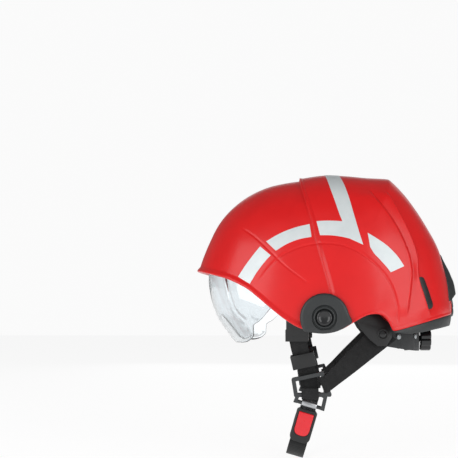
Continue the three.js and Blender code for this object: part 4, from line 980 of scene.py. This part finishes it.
        inner_shares = np.linspace(1, 0.01, 60)
        inside = np.concatenate([SHELL_DOME.cast(ray(high * s), -self.wall) for s in inner_shares])
        edge_out, edge_in = skin[-n:], inside[:n]
        across = edge_in - edge_out
        down = np.cross(across, np.roll(edge_out, -1, axis=0) - np.roll(edge_out, 1, axis=0))
        down /= np.linalg.norm(down, axis=1)[:, None]
        down *= np.where(down[:, 2:] > 0, -1, 1)
        roll = []
        swell = np.minimum(np.linalg.norm(across, axis=1)[:, None] / 2, self.edge_roll)
        for turn in np.linspace(0, math.pi, 8)[1:-1]:
            roll.append(edge_out + across * (1 - math.cos(turn)) / 2 + down * swell * math.sin(turn))
        points = np.vstack([skin, *roll, inside])
        total = m + len(roll) + len(inner_shares)
        top = SHELL_DOME.cast(np.array([[0.0, 0.0, 1.0]]))
        top = top + SHELL_DOME.normals(top) * self.details(top)[:, None]
        under = SHELL_DOME.cast(np.array([[0.0, 0.0, 1.0]]), -self.wall)
        points = np.vstack([points, top, under])
        faces = grid_faces(total, n, closed=True, flip=True)
        last = total * n
        faces += [(last, i, (i + 1) % n) for i in range(n)]
        base = (total - 1) * n
        faces += [(last + 1, base + (i + 1) % n, base + i) for i in range(n)]
        make_piece("shell_skin", points, faces, SHELL_ABS, Body.SHELL, ("outer_shell",), sharp=60)

    def _boss_ring(self) -> None:
        """The rounded collar of the boss, with its well and floor."""
        r, w, top, floor = self.boss.radius, self.boss.well, self.collar_proud, -self.boss.depth + 0.7
        profile = [(r - 0.9, floor - 1), (r - 0.4, -2), (r, top - 1.8), (r - 0.35, top - 0.7), (r - 1.1, top - 0.1),
                   (r - 2.0, top), (w + 1.4, top - 0.3), (w + 0.4, top - 1.0), (w, top - 2.2), (w, floor + 0.6),
                   (w - 0.6, floor), (0.01, floor)]
        points, faces = turned(profile, 128, self.boss.frame)
        limit = SHELL_DOME.rear(points[:, 0], points[:, 2], self.collar_rise)
        points[:, 1] = np.minimum(points[:, 1], limit[:, 1])
        make_piece("knob_boss", points, faces, SHELL_ABS, Body.SHELL, sharp=50)

    def _film(self) -> None:
        """Reflective film on both sides, and over the crown."""
        panels = {
            "front": ([(-65.7, 72.6), (-72.3, 64.5), (-81.0, 53.0), (-88.3, 42.0)],
                      [(-54.5, 63.3), (-60.5, 56.8), (-68.6, 46.2), (-75.8, 34.5)]),
            "upper": ([(-15.3, 95.4), (-30.0, 91.9), (-45.5, 85.8), (-59.5, 77.7)],
                      [(-13.2, 81.9), (-25.5, 79.6), (-38.0, 74.8), (-49.3, 67.9)]),
            "crown_foot": ([(20.0, 98.1), (10.0, 98.8), (0.0, 98.8), (-8.3, 98.3)],
                           [(27.4, 79.6), (18.0, 81.9), (7.0, 83.4), (-4.6, 83.6)]),
            "rear": ([(43.7, 86.4), (53.5, 80.4), (62.0, 74.4), (68.3, 68.6), (74.8, 61.2), (80.4, 52.4)],
                     [(46.1, 71.6), (50.2, 65.0), (54.6, 60.4), (59.0, 55.6), (63.0, 51.2), (66.8, 46.0)]),
        }
        for name, (upper, lower) in panels.items():
            for side in Side:
                edges = [self._on_side(catmull(edge, 40), side) for edge in (upper, lower)]
                rise = 0.24 if name == "crown_foot" else 0.3
                self._panel(f"film_{name}_{side.word}", edges[0], edges[1], 14, rise, side is Side.RIGHT)
        front = [(0.0, -0.6, 150.0), (24, -0.2, 150.0), (46.0, 1.6, 148.0), (64.0, 5.2, 136.0), (78.0, 10.2, 121.8),
                 (86.0, 14.6, 108.0), (90.4, 18.4, 98.1), (94.0, 22.4, 88.8), (96.3, 26.4, 79.8)]
        back = [(0.0, 14.0, 150.0), (24, 14.6, 150.0), (45.0, 17.0, 150.0), (64.0, 21.6, 137.0),
                (80.4, 27.4, 117.2), (87.4, 30.8, 104.6), (92.0, 33.9, 92.7), (94.6, 36.4, 83.6),
                (96.6, 39.3, 74.0)]
        edges = []
        for line in (front, back):
            half = catmull(line, 90)
            edges.append(np.vstack([half[::-1] * (-1, 1, 1), half[1:]]))
        self._panel("film_crown", edges[0], edges[1], 14, 0.3, True)

    def _on_side(self, line: Array, side: Side) -> Array:
        """Puts a line drawn from the side onto one side of the dome."""
        start = np.stack([np.zeros(len(line)), line[:, 0], line[:, 1]], axis=1)
        return SHELL_DOME.cast(np.tile((side.value, 0.0, 0.0), (len(line), 1)), start=start)

    def _panel(self, name: str, first: Array, second: Array, rows: int, rise: float, flip: bool) -> None:
        """A piece of film between two edges, lying on the shell.

        Args:
            name: the piece's name.
            first: points of one edge.
            second: as many points of the other.
            rows: steps between them.
            rise: how far the film's face stands off the shell.
            flip: whether to turn the faces round.
        """
        shares = np.linspace(0, 1, rows + 1)[:, None, None]
        flat = (first * (1 - shares) + second * shares).reshape(-1, 3)
        base = SHELL_DOME.onto(flat)
        normal = SHELL_DOME.normals(base)
        lift = self.details(base)
        face = base + normal * (lift + rise)[:, None]
        foot = base + normal * (lift - 0.3)[:, None]
        n = len(first)
        count = len(face)
        faces = grid_faces(rows + 1, n, flip=not flip)
        faces += grid_faces(rows + 1, n, first=count, flip=flip)
        ring = [i for i in range(n)] + [r * n + n - 1 for r in range(1, rows + 1)]
        ring += [rows * n + i for i in range(n - 2, -1, -1)] + [r * n for r in range(rows - 1, 0, -1)]
        for a, b in zip(ring, ring[1:] + ring[:1]):
            quad = (a, b, b + count, a + count)
            faces.append(tuple(reversed(quad)) if not flip else quad)
        make_piece(name, np.vstack([face, foot]), faces, REFLECTIVE_FILM, Body.SHELL, sharp=50)


@dataclass
class RearFittings:
    """The grey bumper, the hood over the knob, the slot inserts and the knob."""

    trim_proud: float = 0.8
    boss: Boss = field(default_factory=Boss)
    hood_outer: Sequence[Point] = (
        (0, 75), (7, 73.8), (15, 69.5), (23.2, 60.6), (30.0, 47.0), (35.4, 32.6), (38.2, 24.5), (39.6, 18.6),
    )
    hood_inner: Sequence[Point] = (
        (0, 43.0), (7, 42.0), (13, 39.4), (18.5, 35.2), (22.3, 30.4), (24.6, 26.6), (31.0, 22.6), (38.4, 18.0),
    )
    hood_proud: float = 6.4
    knob_radius: float = 16.1
    lobes: int = 6
    scallop: float = 1.5

    def build(self) -> None:
        """Builds all four."""
        self._trim()
        self._hood()
        self._knob()
        for side in Side:
            word = side.word
            refine(f"slot_insert_{word}", f"slot_plug_{word}", NYLON_BLACK, Body.SHELL, 0.9, 3)
        refine("rear_knob_nut", "knob_nut", ZINC_PLATE, Body.REAR_KNOB, 0.3)

    def _trim(self) -> None:
        """The bumper: a band on the shell's surface, with rounded edges and a lip behind the shell."""
        start = math.degrees(math.atan2(72.6 - 9, 99))
        turns = np.radians(np.linspace(start, 180 - start, 361))

        def edge(table: Array, rise: float, notch: bool) -> Array:
            """Tilts from straight up at which each column meets an edge."""
            low, high = np.full(len(turns), 0.9), np.full(len(turns), 2.6)
            for _ in range(30):
                tilt = (low + high) / 2
                p = SHELL_DOME.cast(self._rays(turns, tilt))
                limit = np.interp(p[:, 1], table[:, 0], table[:, 1]) + rise
                if notch:
                    x = np.minimum(np.abs(p[:, 0]), 19.4)
                    ring = self.boss.centre[2] - np.sqrt(19.4**2 - x**2) * 0.99
                    limit = np.where(np.abs(p[:, 0]) < 19.4, np.minimum(limit, ring), limit)
                above = p[:, 2] > limit
                low, high = np.where(above, tilt, low), np.where(above, high, tilt)
            return high

        top, bottom = edge(TRIM_TOP, -0.3, True), edge(TRIM_BOTTOM, 0.0, False)
        bottom = np.maximum(bottom, top + 0.006)
        section = [(0.0, -1.2), (0.0, -0.2), (0.012, 0.45), (0.03, 0.8), (0.06, 0.95), (0.3, 1.15), (0.5, 1.25),
                   (0.7, 1.15), (0.9, 0.9), (0.96, 0.5), (0.99, -0.1), (1.0, -0.9), (0.99, -2.4), (0.95, -3.6),
                   (0.8, -4.8), (0.4, -5.0), (0.02, -5.0), (0.0, -4.2)]
        points = []
        for share, grow in section:
            tilt = top + (bottom - top) * share
            points.append(SHELL_DOME.cast(self._rays(turns, tilt), grow * (self.trim_proud if grow > 0 else 1)))
        rows = np.array(points)
        n = len(turns)
        faces = grid_faces(len(section), n, flip=True)
        last = (len(section) - 1) * n
        faces += [(last + i, last + i + 1, i + 1, i)[::-1] for i in range(n - 1)]
        faces.append(tuple(r * n for r in range(len(section))))
        faces.append(tuple(r * n + n - 1 for r in reversed(range(len(section)))))
        make_piece("rear_bumper", rows.reshape(-1, 3), faces, NYLON_GREY, Body.SHELL,
                   ("rear_trim",), sharp=50)

    def _rays(self, turns: Array, tilt: Array) -> Array:
        """Directions at turns round the helmet and tilts from straight up."""
        return np.stack([np.sin(tilt) * np.cos(turns), np.sin(tilt) * np.sin(turns), np.cos(tilt)], axis=1)

    def _hood(self) -> None:
        """The hood: it rises out of the shell at its outer edge and stands proud round the knob."""
        outer, inner = catmull(self.hood_outer, 60), catmull(self.hood_inner, 60)
        outer, inner = (np.vstack([e[::-1] * (-1, 1), e[1:]]) for e in (outer, inner))
        section = [(0.0, -1.0), (0.0, 0.3), (0.02, 0.75), (0.05, 1.0)]
        h = self.hood_proud
        section += [(s, 1.0 + (h - 1.0) * float(ease(s, -0.15, 0.9))) for s in np.linspace(0.1, 0.86, 14)]
        section += [(0.90, h + 0.55), (0.94, h + 0.75), (0.975, h + 0.5), (0.995, h - 0.2), (1.0, h - 1.2),
                    (1.0, 2.0), (1.0, -1.0)]
        rows = []
        reach = np.clip(np.linalg.norm(outer - inner, axis=1) / 14, 0.05, 1)
        for share, proud in section:
            place = outer + (inner - outer) * share
            base = SHELL_DOME.rear(place[:, 0], place[:, 1])
            height = np.where(proud > 1, 1 + (proud - 1) * reach, proud)
            rows.append(base + np.array([0.0, 0.992, 0.125]) * height[:, None])
        n = len(outer)
        points = np.array(rows).reshape(-1, 3)
        faces = grid_faces(len(section), n)
        last = (len(section) - 1) * n
        faces += [(last + i, last + i + 1, i + 1, i)[::-1] for i in range(n - 1)]
        faces.append(tuple(r * n for r in reversed(range(len(section)))))
        faces.append(tuple(r * n + n - 1 for r in range(len(section))))
        make_piece("knob_hood", points, faces, NYLON_GREY, Body.SHELL, ("rear_hood",), sharp=45)

    def _knob(self) -> None:
        """The scalloped lighting and accessory knob, with its recessed screw."""
        r, top = self.knob_radius, self.boss.proud - 1.7
        rows = [(r - 0.3, -9.9, 1.0), (r, -4, 1.0), (r, top - 1.9, 1.0), (r - 0.25, top - 0.9, 1.0),
                (r - 0.9, top - 0.25, 1.0), (r - 1.7, top, 0.95), (r - 3.4, top + 0.1, 0.5),
                (r - 5.0, top - 0.1, 0.15), (r - 6.2, top - 0.25, 0.0), (7.2, top - 0.3, 0.0),
                (6.6, top - 0.7, 0.0), (6.3, top - 2.6, 0.0), (5.8, top - 3.1, 0.0), (0.01, top - 3.2, 0.0)]
        points, faces = lobed(rows, self.lobes, self.scallop, 216, self.boss.frame, start=math.pi / 6)
        make_piece("scalloped_knob", points, faces, ACETAL_BLACK, Body.REAR_KNOB,
                   ("rear_knob",), sharp=50)
        screw = [(2.8, -19.0), (2.8, -1.2), (4.6, -1.2), (4.6, -0.6), (4.1, -0.2), (1.9, 0.15), (1.7, -0.7),
                 (0.01, -0.8)]
        points, faces = turned(screw, 48, self.boss.frame)
        make_piece("knob_screw", points, faces, BLACK_OXIDE, Body.REAR_KNOB,
                   ("rear_knob_spindle",), sharp=40)


def lobed(
    rows: Sequence[tuple[float, float, float]],
    lobes: int,
    scallop: float,
    steps: int,
    matrix: Matrix,
    start: float = 0.0,
    sharpness: float = 2.0,
) -> tuple[Array, Faces]:
    """A knob with hollows round its side.

    Args:
        rows: radius, height and share of the hollows' depth, from the foot to the top.
        lobes: how many hollows.
        scallop: their depth.
        steps: steps round the knob.
        matrix: places local Z and the origin, in millimetres.
        start: where the first hollow lies.
        sharpness: how narrow the hollows are.

    Returns:
        Points and faces.
    """
    turns = np.arange(steps) * math.tau / steps
    wave = np.maximum(0, np.cos((turns - start) * lobes)) ** sharpness
    points = []
    for radius, height, share in rows:
        reach = np.maximum(radius - scallop * share * wave, 0.005)
        points.append(np.stack([reach * np.cos(turns), reach * np.sin(turns), np.full(steps, height)], axis=1))
    flat = np.concatenate(points)
    placed = flat @ np.array(matrix.to_3x3()).T + np.array(matrix.translation)
    return placed, grid_faces(len(rows), steps, closed=True)


@dataclass
class SidePivots:
    """Covers, caps and the hidden hardware on which the visor turns."""

    cover_from: float = 105.3
    cover_thick: float = 5.0
    cover_radius: float = 24.5
    cap_radius: float = 7.85
    cap_proud: float = 3.5
    foot: Sequence[Point] = (
        (-24.6, -12.6), (-22, -13.3), (-10, -15.2), (0, -15.8), (10, -14.3), (17, -11.6), (22, -8.8), (25.5, -6.6),
        (27.4, -5.2),
    )
    tip_reach: float = 3.6
    tip_turn: float = -9.5
    tip_spread: float = 12.0

    def build(self) -> None:
        """Builds both sides."""
        for side in Side:
            self._cover(side)
            self._cap(side)
            word = side.word
            refine(f"pivot_washer_{word}", f"washer_{word}", NYLON_BLACK, Body.SHELL, 0.2)
            refine(f"pivot_clip_{word}", f"spring_clip_{word}", STAINLESS, Body.SHELL, 0.2)

    def _outline(self, turns: Array) -> Array:
        """The cover's reach in each direction, in the plane of the side."""
        foot = catmull(self.foot, 200)
        bend = np.arctan2(foot[:, 1], foot[:, 0])
        order = np.argsort(bend)
        reach = np.hypot(foot[:, 0], foot[:, 1])[order]
        found = np.interp(turns, bend[order], reach, left=1e3, right=1e3)
        low, high = bend[order][0], bend[order][-1]
        found = np.where((turns >= low) & (turns <= high), found, 1e3)
        past = np.degrees(turns) - self.tip_turn
        tip = self.tip_reach * np.exp(-((past / self.tip_spread) ** 2)) * (past < 60)
        return np.minimum(found, self.cover_radius + tip)

    def _cover(self, side: Side) -> None:
        """The dished disc with its two grooves, cut along the shell's edge."""
        steps = 240
        turns = -math.pi + (np.arange(steps) + 0.5) * math.tau / steps
        rim = self._outline(turns)
        for _ in range(2):
            rim = (np.roll(rim, 1) + rim + np.roll(rim, -1)) / 3
        t = self.cover_thick
        edge = [(0.0, -0.3), (0.0, t - 2.6), (0.25, t - 1.6), (0.9, t - 0.75), (2.2, t - 0.15), (3.6, t)]
        rows = [(rim - inset, h) for inset, h in edge]
        flat = [(13.6, t + 0.1), (12.9, t), (12.4, t - 0.5), (12.2, t - 1.5), (11.8, t - 1.9), (11.2, t - 1.8),
                (10.8, t - 1.0), (10.3, t - 0.6), (9.4, t - 0.55), (8.8, t - 0.9), (8.4, t - 1.6), (8.2, t - 3.4)]
        rows += [(np.full(steps, r), h) for r, h in flat]
        points = []
        for reach, h in rows:
            face = np.full(steps, self.cover_from + h)
            points.append(np.stack([face, reach * np.cos(turns), reach * np.sin(turns)], axis=1))
        p = np.concatenate(points) * (side.value, 1, 1)
        faces = grid_faces(len(rows), steps, closed=True, flip=side is Side.RIGHT)
        foot, top = tuple(range(steps)), tuple((len(rows) - 1) * steps + i for i in range(steps))
        faces += [foot[::-1], top] if side is Side.LEFT else [foot, top[::-1]]
        make_piece(f"pivot_cover_{side.word}", p, faces, NYLON_GREY, Body.SHELL,
                   (f"side_cover_{side.word}",), sharp=42)

    def _cap(self, side: Side) -> None:
        """The round cap and its stud."""
        face = self.cover_from + self.cover_thick + self.cap_proud
        r, stud, end = self.cap_radius, 4.0, 92.9
        profile = [(0.01, end), (stud - 0.4, end), (stud, end + 0.5), (stud, 107), (r, 107), (r, face - 1.6),
                   (r - 0.25, face - 0.8), (r - 0.9, face - 0.2), (r - 1.7, face), (r - 2.5, face - 0.12),
                   (r - 3.0, face - 0.55), (2.0, face - 0.75), (0.01, face - 0.8)]
        matrix = Matrix(((0, 0, 1, 0), (1, 0, 0, 0), (0, 1, 0, 0), (0, 0, 0, 1)))
        points, faces = turned(profile, 96, matrix)
        if side is Side.RIGHT:
            points, faces = points * (-1, 1, 1), [f[::-1] for f in faces]
        make_piece(f"pivot_cap_{side.word}", points, faces, ACETAL_BLACK, Body.SHELL,
                   (f"side_cap_{side.word}",), sharp=45)


@dataclass
class Visor:
    """The drop-down visor: a clear lens with turned-in edges, its arms and rivets."""

    thick: float = 2.2
    columns: int = 240
    rows: int = 90
    lower_edge: Sequence[Point] = (
        (-50, 20), (-53, 13), (-58, 7), (-67, -3), (-74.2, -8.0), (-75.2, -13), (-75.4, -19), (-79.5, -24.0),
        (-86, -26.8), (-96, -27.4), (-104, -27.6),
    )
    upper_edge: Sequence[Point] = ((-50, 40), (-80, 48), (-118, 61), (-150, 62))
    side_crease: Sequence[Point] = (
        (-106.5, 50.0), (-103.5, 35.0), (-98.0, 14.7), (-92.8, 4.5), (-87.0, -1.0), (-81.5, -4.4),
    )
    crease_depth: float = 0.8
    crease_half: float = 2.0
    edge_turn_in: float = 1.0
    side_end: float = 0.33
    least_height: float = 4.0
    nose_half: float = 23.0
    nose_height: float = 33.0
    nose_foot: float = -31.0

    def build(self) -> None:
        """Builds the lens and dresses the arms."""
        self._lens()
        for side in Side:
            refine(f"visor_arm_{side.word}", f"lens_arm_{side.word}", POLYCARBONATE, Body.VISOR, 0.5)
            refine(f"visor_rivet_{side.word}", f"lens_rivet_{side.word}", STAINLESS, Body.VISOR, 0.4)

    def _edges(self, s: Array) -> tuple[Array, Array]:
        """Degrees below and above for columns across the lens.

        Args:
            s: the columns' places, 0 and pi at the sides.

        Returns:
            The lower and the upper edge in degrees from the front horizon.
        """
        dome = VISOR_DOME
        across = dome.half_width * np.sign(np.cos(s)) * np.abs(np.cos(s)) ** (2 / dome.power)
        share = np.sin(s) ** (2 / dome.power)

        def meet(table: Array, arch: bool) -> Array:
            """Degrees at which a column crosses an edge line, searching up from below."""
            low, high = np.full(len(s), -60.0), np.full(len(s), 75.0)
            for _ in range(34):
                mid = (low + high) / 2
                radius = np.interp(mid, *dome.table) * share
                y, z = -radius * np.cos(np.radians(mid)), radius * np.sin(np.radians(mid))
                order = np.argsort(table[:, 0])
                limit = np.interp(y, table[order, 0], table[order, 1])
                if arch:
                    dip = np.clip(1 - (across / self.nose_half) ** 2, 0, 1)
                    arc = self.nose_foot + self.nose_height * np.sqrt(dip)
                    limit = np.where(np.abs(across) < self.nose_half, np.maximum(limit, arc), limit)
                below = z < limit
                low, high = np.where(below, mid, low), np.where(below, high, mid)
            return (low + high) / 2

        lower = catmull([*self.lower_edge, (-155, -27.8)], 300)
        return meet(lower, True), meet(catmull(self.upper_edge, 80), False)

    def _lens(self) -> None:
        """The lens: outside, inside and edges, as one closed sheet."""
        dome, n, m = VISOR_DOME, self.columns, self.rows
        s = np.linspace(math.pi - self.side_end, self.side_end, n + 1)
        lower, upper = self._edges(s)
        keep = upper - lower > self.least_height
        s, lower, upper = s[keep], lower[keep], upper[keep]
        n = len(s)
        across = dome.half_width * np.sign(np.cos(s)) * np.abs(np.cos(s)) ** (2 / dome.power)
        share = np.sin(s) ** (2 / dome.power)
        grid = []
        for k in np.linspace(0, 1, m + 1):
            turn = np.radians(lower + (upper - lower) * k)
            radius = np.interp(np.degrees(turn), *dome.table) * share
            grid.append(np.stack([across, -radius * np.cos(turn), radius * np.sin(turn)], axis=1))
        outside = np.concatenate(grid)
        normal = dome.normals(outside)
        inset = np.zeros((m + 1, n))
        inset[0] = inset[-1] = 0.55
        inset[1] = inset[-2] = 0.12
        inset = inset.ravel()[:, None]
        gap, share = line_distance(outside[:, 1:], catmull(self.side_crease, 60))
        fold = self.crease_depth * np.exp(-((gap / self.crease_half) ** 2)) * (1 - ease(share, 0.9, 1.0))
        gap, _ = line_distance(outside[:, 1:], catmull(self.lower_edge, 60))
        rolled = self.edge_turn_in * (1 - ease(gap, 0.5, 6.0))
        bend = (fold + rolled)[:, None]
        outer = outside - normal * (inset + bend)
        inner = outside - normal * (self.thick - inset + bend)
        count = len(outer)
        faces = grid_faces(m + 1, n)
        faces += grid_faces(m + 1, n, first=count, flip=True)
        ring = list(range(n)) + [r * n + n - 1 for r in range(1, m + 1)]
        ring += [m * n + i for i in range(n - 2, -1, -1)] + [r * n for r in range(m - 1, 0, -1)]
        faces += [(b, a, a + count, b + count) for a, b in zip(ring, ring[1:] + ring[:1])]
        make_piece("clear_lens", np.vstack([outer, inner]), faces, POLYCARBONATE, Body.VISOR,
                   ("visor_lens",), sharp=35)


@dataclass
class Cradle:
    """The nape cradle and its ratchet, on the nape body."""

    def build(self) -> None:
        """Dresses the cradle, its ratchet and its knob."""
        refine("nape_band", "nape_cradle", LEATHER_GREY, Body.NAPE, 0.7, 3)
        refine("ratchet_cover", "ratchet_housing", NYLON_BLACK, Body.NAPE, 0.6, 3)
        for number in range(1, 5):
            refine(f"nape_rivet_{number}", f"cradle_rivet_{number}", ZINC_PLATE, Body.NAPE, 0.5, 3)
        for side in Side:
            refine(f"band_strip_{side.word}", f"toothed_band_{side.word}", NYLON_BLACK,
                   Body.STRIP_LEFT if side is Side.LEFT else Body.STRIP_RIGHT, 0.15)
        refine("size_pinion", "ratchet_pinion", NYLON_BLACK, Body.SIZE_KNOB, 0.1)
        refine("size_knob_screw", "ratchet_screw", BLACK_OXIDE, Body.SIZE_KNOB, 0.2)
        refine("size_knob", "ratchet_knob", ACETAL_BLACK, Body.SIZE_KNOB, 0.8, 3)


@dataclass
class Harness:
    """Side arms, straps, dividers, buckle and chin strap."""

    def build(self) -> None:
        """Dresses the harness."""
        for side in Side:
            word = side.word
            refine(f"side_arm_{word}", f"harness_arm_{word}", NYLON_BLACK, Body.SHELL, 0.6)
            refine(f"ring_rivet_{word}", f"headband_rivet_{word}", ZINC_PLATE, Body.SHELL, 0.4)
            refine(f"harness_pin_{word}", f"harness_stud_{word}", ACETAL_BLACK, Body.SHELL, 0.4)
            refine(f"front_anchor_{word}", f"strap_anchor_{word}", NYLON_BLACK, Body.SHELL, 0.6)
            refine(f"ladder_lock_{word}", f"strap_adjuster_{word}", NYLON_BLACK, Body.SHELL, 0.5)
            refine(f"strap_divider_{word}", f"divider_frame_{word}", ACETAL_SLATE, Body.SHELL,
                   0.9, 3)
            for run in ("front", "rear"):
                refine(f"{run}_strap_{word}", f"{run}_webbing_{word}", WEBBING_BLACK, Body.SHELL, 0.4,
                       woven=True)
        refine("buckle_tongue", "buckle_plate", STAINLESS, Body.SHELL, 0.3)
        refine("buckle_body", "buckle_case", NYLON_BLACK, Body.CHIN, 0.7, 3)
        refine("buckle_pin", "buckle_rod", STAINLESS, Body.CHIN, 0.2)
        refine("release_button", "red_button", BUTTON_ABS, Body.BUTTON, 0.6, 3)
        refine("chin_strap", "chin_webbing", WEBBING_BLACK, Body.CHIN, 0.4, woven=True)
        refine("strap_slider", "webbing_slider", NYLON_BLACK, Body.CHIN, 0.6)


@dataclass
class Interior:
    """Foam liner, head ring, brow pad, nape pad and crown straps."""

    cell: float = 1.4
    crown: float = 0.35
    channel_step: float = 17.0
    channel_width: float = 1.3
    channel_depth: float = 0.7

    def build(self) -> None:
        """Dresses the inside."""
        refine("impact_liner", "foam_liner", POLYSTYRENE, Body.SHELL, 1.2, 2)
        refine("head_ring", "head_band", NYLON_BLACK, Body.SHELL, 0.5)
        for way in ("cross", "long"):
            refine(f"crown_strap_{way}", f"crown_webbing_{way}", WEBBING_BLACK, Body.SHELL, 0.4,
                   woven=True)
        self._cushion("brow_pad", "brow_cushion", Body.SHELL)
        self._cushion("nape_pad", "nape_cushion", Body.NAPE)

    def _cushion(self, node: str, name: str, body: Body) -> None:
        """A fabric pad with rounded sides, crowned between sewn channels.

        Args:
            node: the CAD solid that holds its space.
            name: the pad's name.
            body: what it moves with.
        """
        pad = bpy.data.objects.new(name, bpy.data.objects[node].data.copy())
        bpy.context.collection.objects.link(pad)
        remesh = pad.modifiers.new("even", "REMESH")
        remesh.mode = "VOXEL"
        remesh.voxel_size = self.cell * MM
        soften = pad.modifiers.new("soften", "SMOOTH")
        soften.factor, soften.iterations = 0.5, 6
        apply_modifiers(pad)
        mesh = pad.data
        flat = np.empty(len(mesh.vertices) * 3)
        mesh.vertices.foreach_get("co", flat)
        p = flat.reshape(-1, 3) / MM
        away = np.empty(len(mesh.vertices) * 3)
        mesh.vertices.foreach_get("normal", away)
        turn = np.degrees(np.arctan2(p[:, 0], np.abs(p[:, 1])))
        valley = np.abs((turn / self.channel_step + 0.5) % 1 - 0.5) * self.channel_step
        sewn = np.exp(-((valley / self.channel_width) ** 2))
        swell = self.crown - (self.crown + self.channel_depth) * sewn
        p = p + away.reshape(-1, 3) * swell[:, None]
        mesh.vertices.foreach_set("co", (p * MM).ravel())
        mesh.update()
        dress(pad, KNIT_BLACK, body, (node,), 80)


# ---------------------------------------------------------------- studio
@dataclass
class Studio:
    """A pale floor, soft lights and the camera beside the wearer's left."""

    azimuth: float = 90.5
    elevation: float = 0.0
    distance: float = 0.855
    lens: float = 59.0
    aim_frame: tuple[float, float] = (0.7105, 0.3061)
    surround: float = 0.16
    backdrop: float = 0.96
    floor_glow: float = 0.88

    def build(self, lowest: float) -> None:
        """Builds the studio.

        Args:
            lowest: height of the floor in metres.
        """
        self._floor(lowest - 0.004)
        self._lights()
        self._camera()

    def _floor(self, height: float) -> None:
        """A plain pale floor."""
        mesh = bpy.data.meshes.new("floor")
        half = 6.0
        ring = ((-half, -half), (half, -half), (half, half), (-half, half))
        mesh.from_pydata([(x, y, height) for x, y in ring], [], [(0, 1, 2, 3)])
        floor = bpy.data.objects.new("floor", mesh)
        bpy.context.collection.objects.link(floor)
        paper = bpy.data.materials.new("white_seamless_paper")
        paper.use_nodes = True
        shader = paper.node_tree.nodes["Principled BSDF"]
        shader.inputs["Base Color"].default_value = linear("7A7A7A")
        shader.inputs["Roughness"].default_value = 0.9
        shader.inputs["Emission Color"].default_value = linear("FFFFFF")
        shader.inputs["Emission Strength"].default_value = self.floor_glow
        mesh.materials.append(paper)
        floor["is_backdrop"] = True

    def _light(self, name: str, place: Point, aim: Point, size: tuple[float, float], power: float) -> None:
        """A rectangular soft light.

        Args:
            name: its name.
            place: where it stands, in metres.
            aim: what it points at.
            size: width and height in metres.
            power: watts.
        """
        data = bpy.data.lights.new(name, "AREA")
        data.shape = "RECTANGLE"
        data.size, data.size_y = size
        data.energy = power
        light = bpy.data.objects.new(name, data)
        light.location = place
        light.rotation_euler = (Vector(aim) - Vector(place)).to_track_quat("-Z", "Y").to_euler()
        bpy.context.collection.objects.link(light)

    def _lights(self) -> None:
        """Tall soft boxes ahead and behind, a wide high key, and a white backdrop."""
        centre = (0.0, 0.0, 0.04)
        self._light("front_box", (1.1, -1.2, 0.3), centre, (1.2, 1.6), 15)
        self._light("rear_box", (1.1, 1.2, 0.3), centre, (1.2, 1.6), 15)
        self._light("far_box", (-1.6, 0.1, 0.5), centre, (1.6, 1.2), 3)
        self._light("broad_key", (2.2, 0.0, 1.2), centre, (3.6, 3.0), 11)
        world = bpy.context.scene.world or bpy.data.worlds.new("surround")
        bpy.context.scene.world = world
        world.use_nodes = True
        tree = world.node_tree
        tree.nodes.clear()
        rays = add_node(tree, "LightPath")
        straight, through = rays.outputs["Is Camera Ray"], rays.outputs["Is Transmission Ray"]
        seen = add_node(tree, "Math", {0: straight, 1: through}, operation="MAXIMUM")
        strength = add_node(
            tree, "MapRange", {"Value": seen.outputs[0], "To Min": self.surround, "To Max": self.backdrop}
        )
        back = add_node(tree, "Background", {"Color": linear("FFFFFF"), "Strength": strength.outputs[0]})
        add_node(tree, "OutputWorld", {"Surface": back.outputs[0]})
        bpy.context.scene.view_settings.view_transform = "Standard"

    def _camera(self) -> None:
        """The camera, level with the pivots, framed so that the helmet lies low and to the right."""
        turn, rise = math.radians(self.azimuth), math.radians(self.elevation)
        away = Vector((math.cos(rise) * math.sin(turn), -math.cos(rise) * math.cos(turn), math.sin(rise)))
        data = bpy.data.cameras.new("camera")
        data.lens = self.lens
        data.sensor_width = data.sensor_height = 36.0
        camera = bpy.data.objects.new("camera", data)
        camera.location = away * self.distance
        forward = -away
        right = forward.cross(Vector((0, 0, 1))).normalized()
        up = right.cross(forward).normalized()
        data.shift_x = 0.5 - self.aim_frame[0]
        data.shift_y = 0.5 - self.aim_frame[1]
        camera.rotation_euler = Matrix((right, up, -forward)).transposed().to_euler()
        bpy.context.collection.objects.link(camera)
        bpy.context.scene.camera = camera


def corners(box: Any) -> list[list[float]]:
    """A box's two corners as plain lists."""
    return [[float(v) for v in corner] for corner in box]


def main() -> None:
    """Builds the helmet around its frame."""
    logging.basicConfig(level=logging.INFO, format="%(name)s: %(message)s")
    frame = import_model()
    cad = corners(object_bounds())
    LOG.info("frame of %d nodes", len(frame["nodes"]))
    Studio().build(cad[0][2])
    Shell().build()
    RearFittings().build()
    SidePivots().build()
    Visor().build()
    Cradle().build()
    Harness().build()
    Interior().build()


if __name__ == "__main__":
    main()
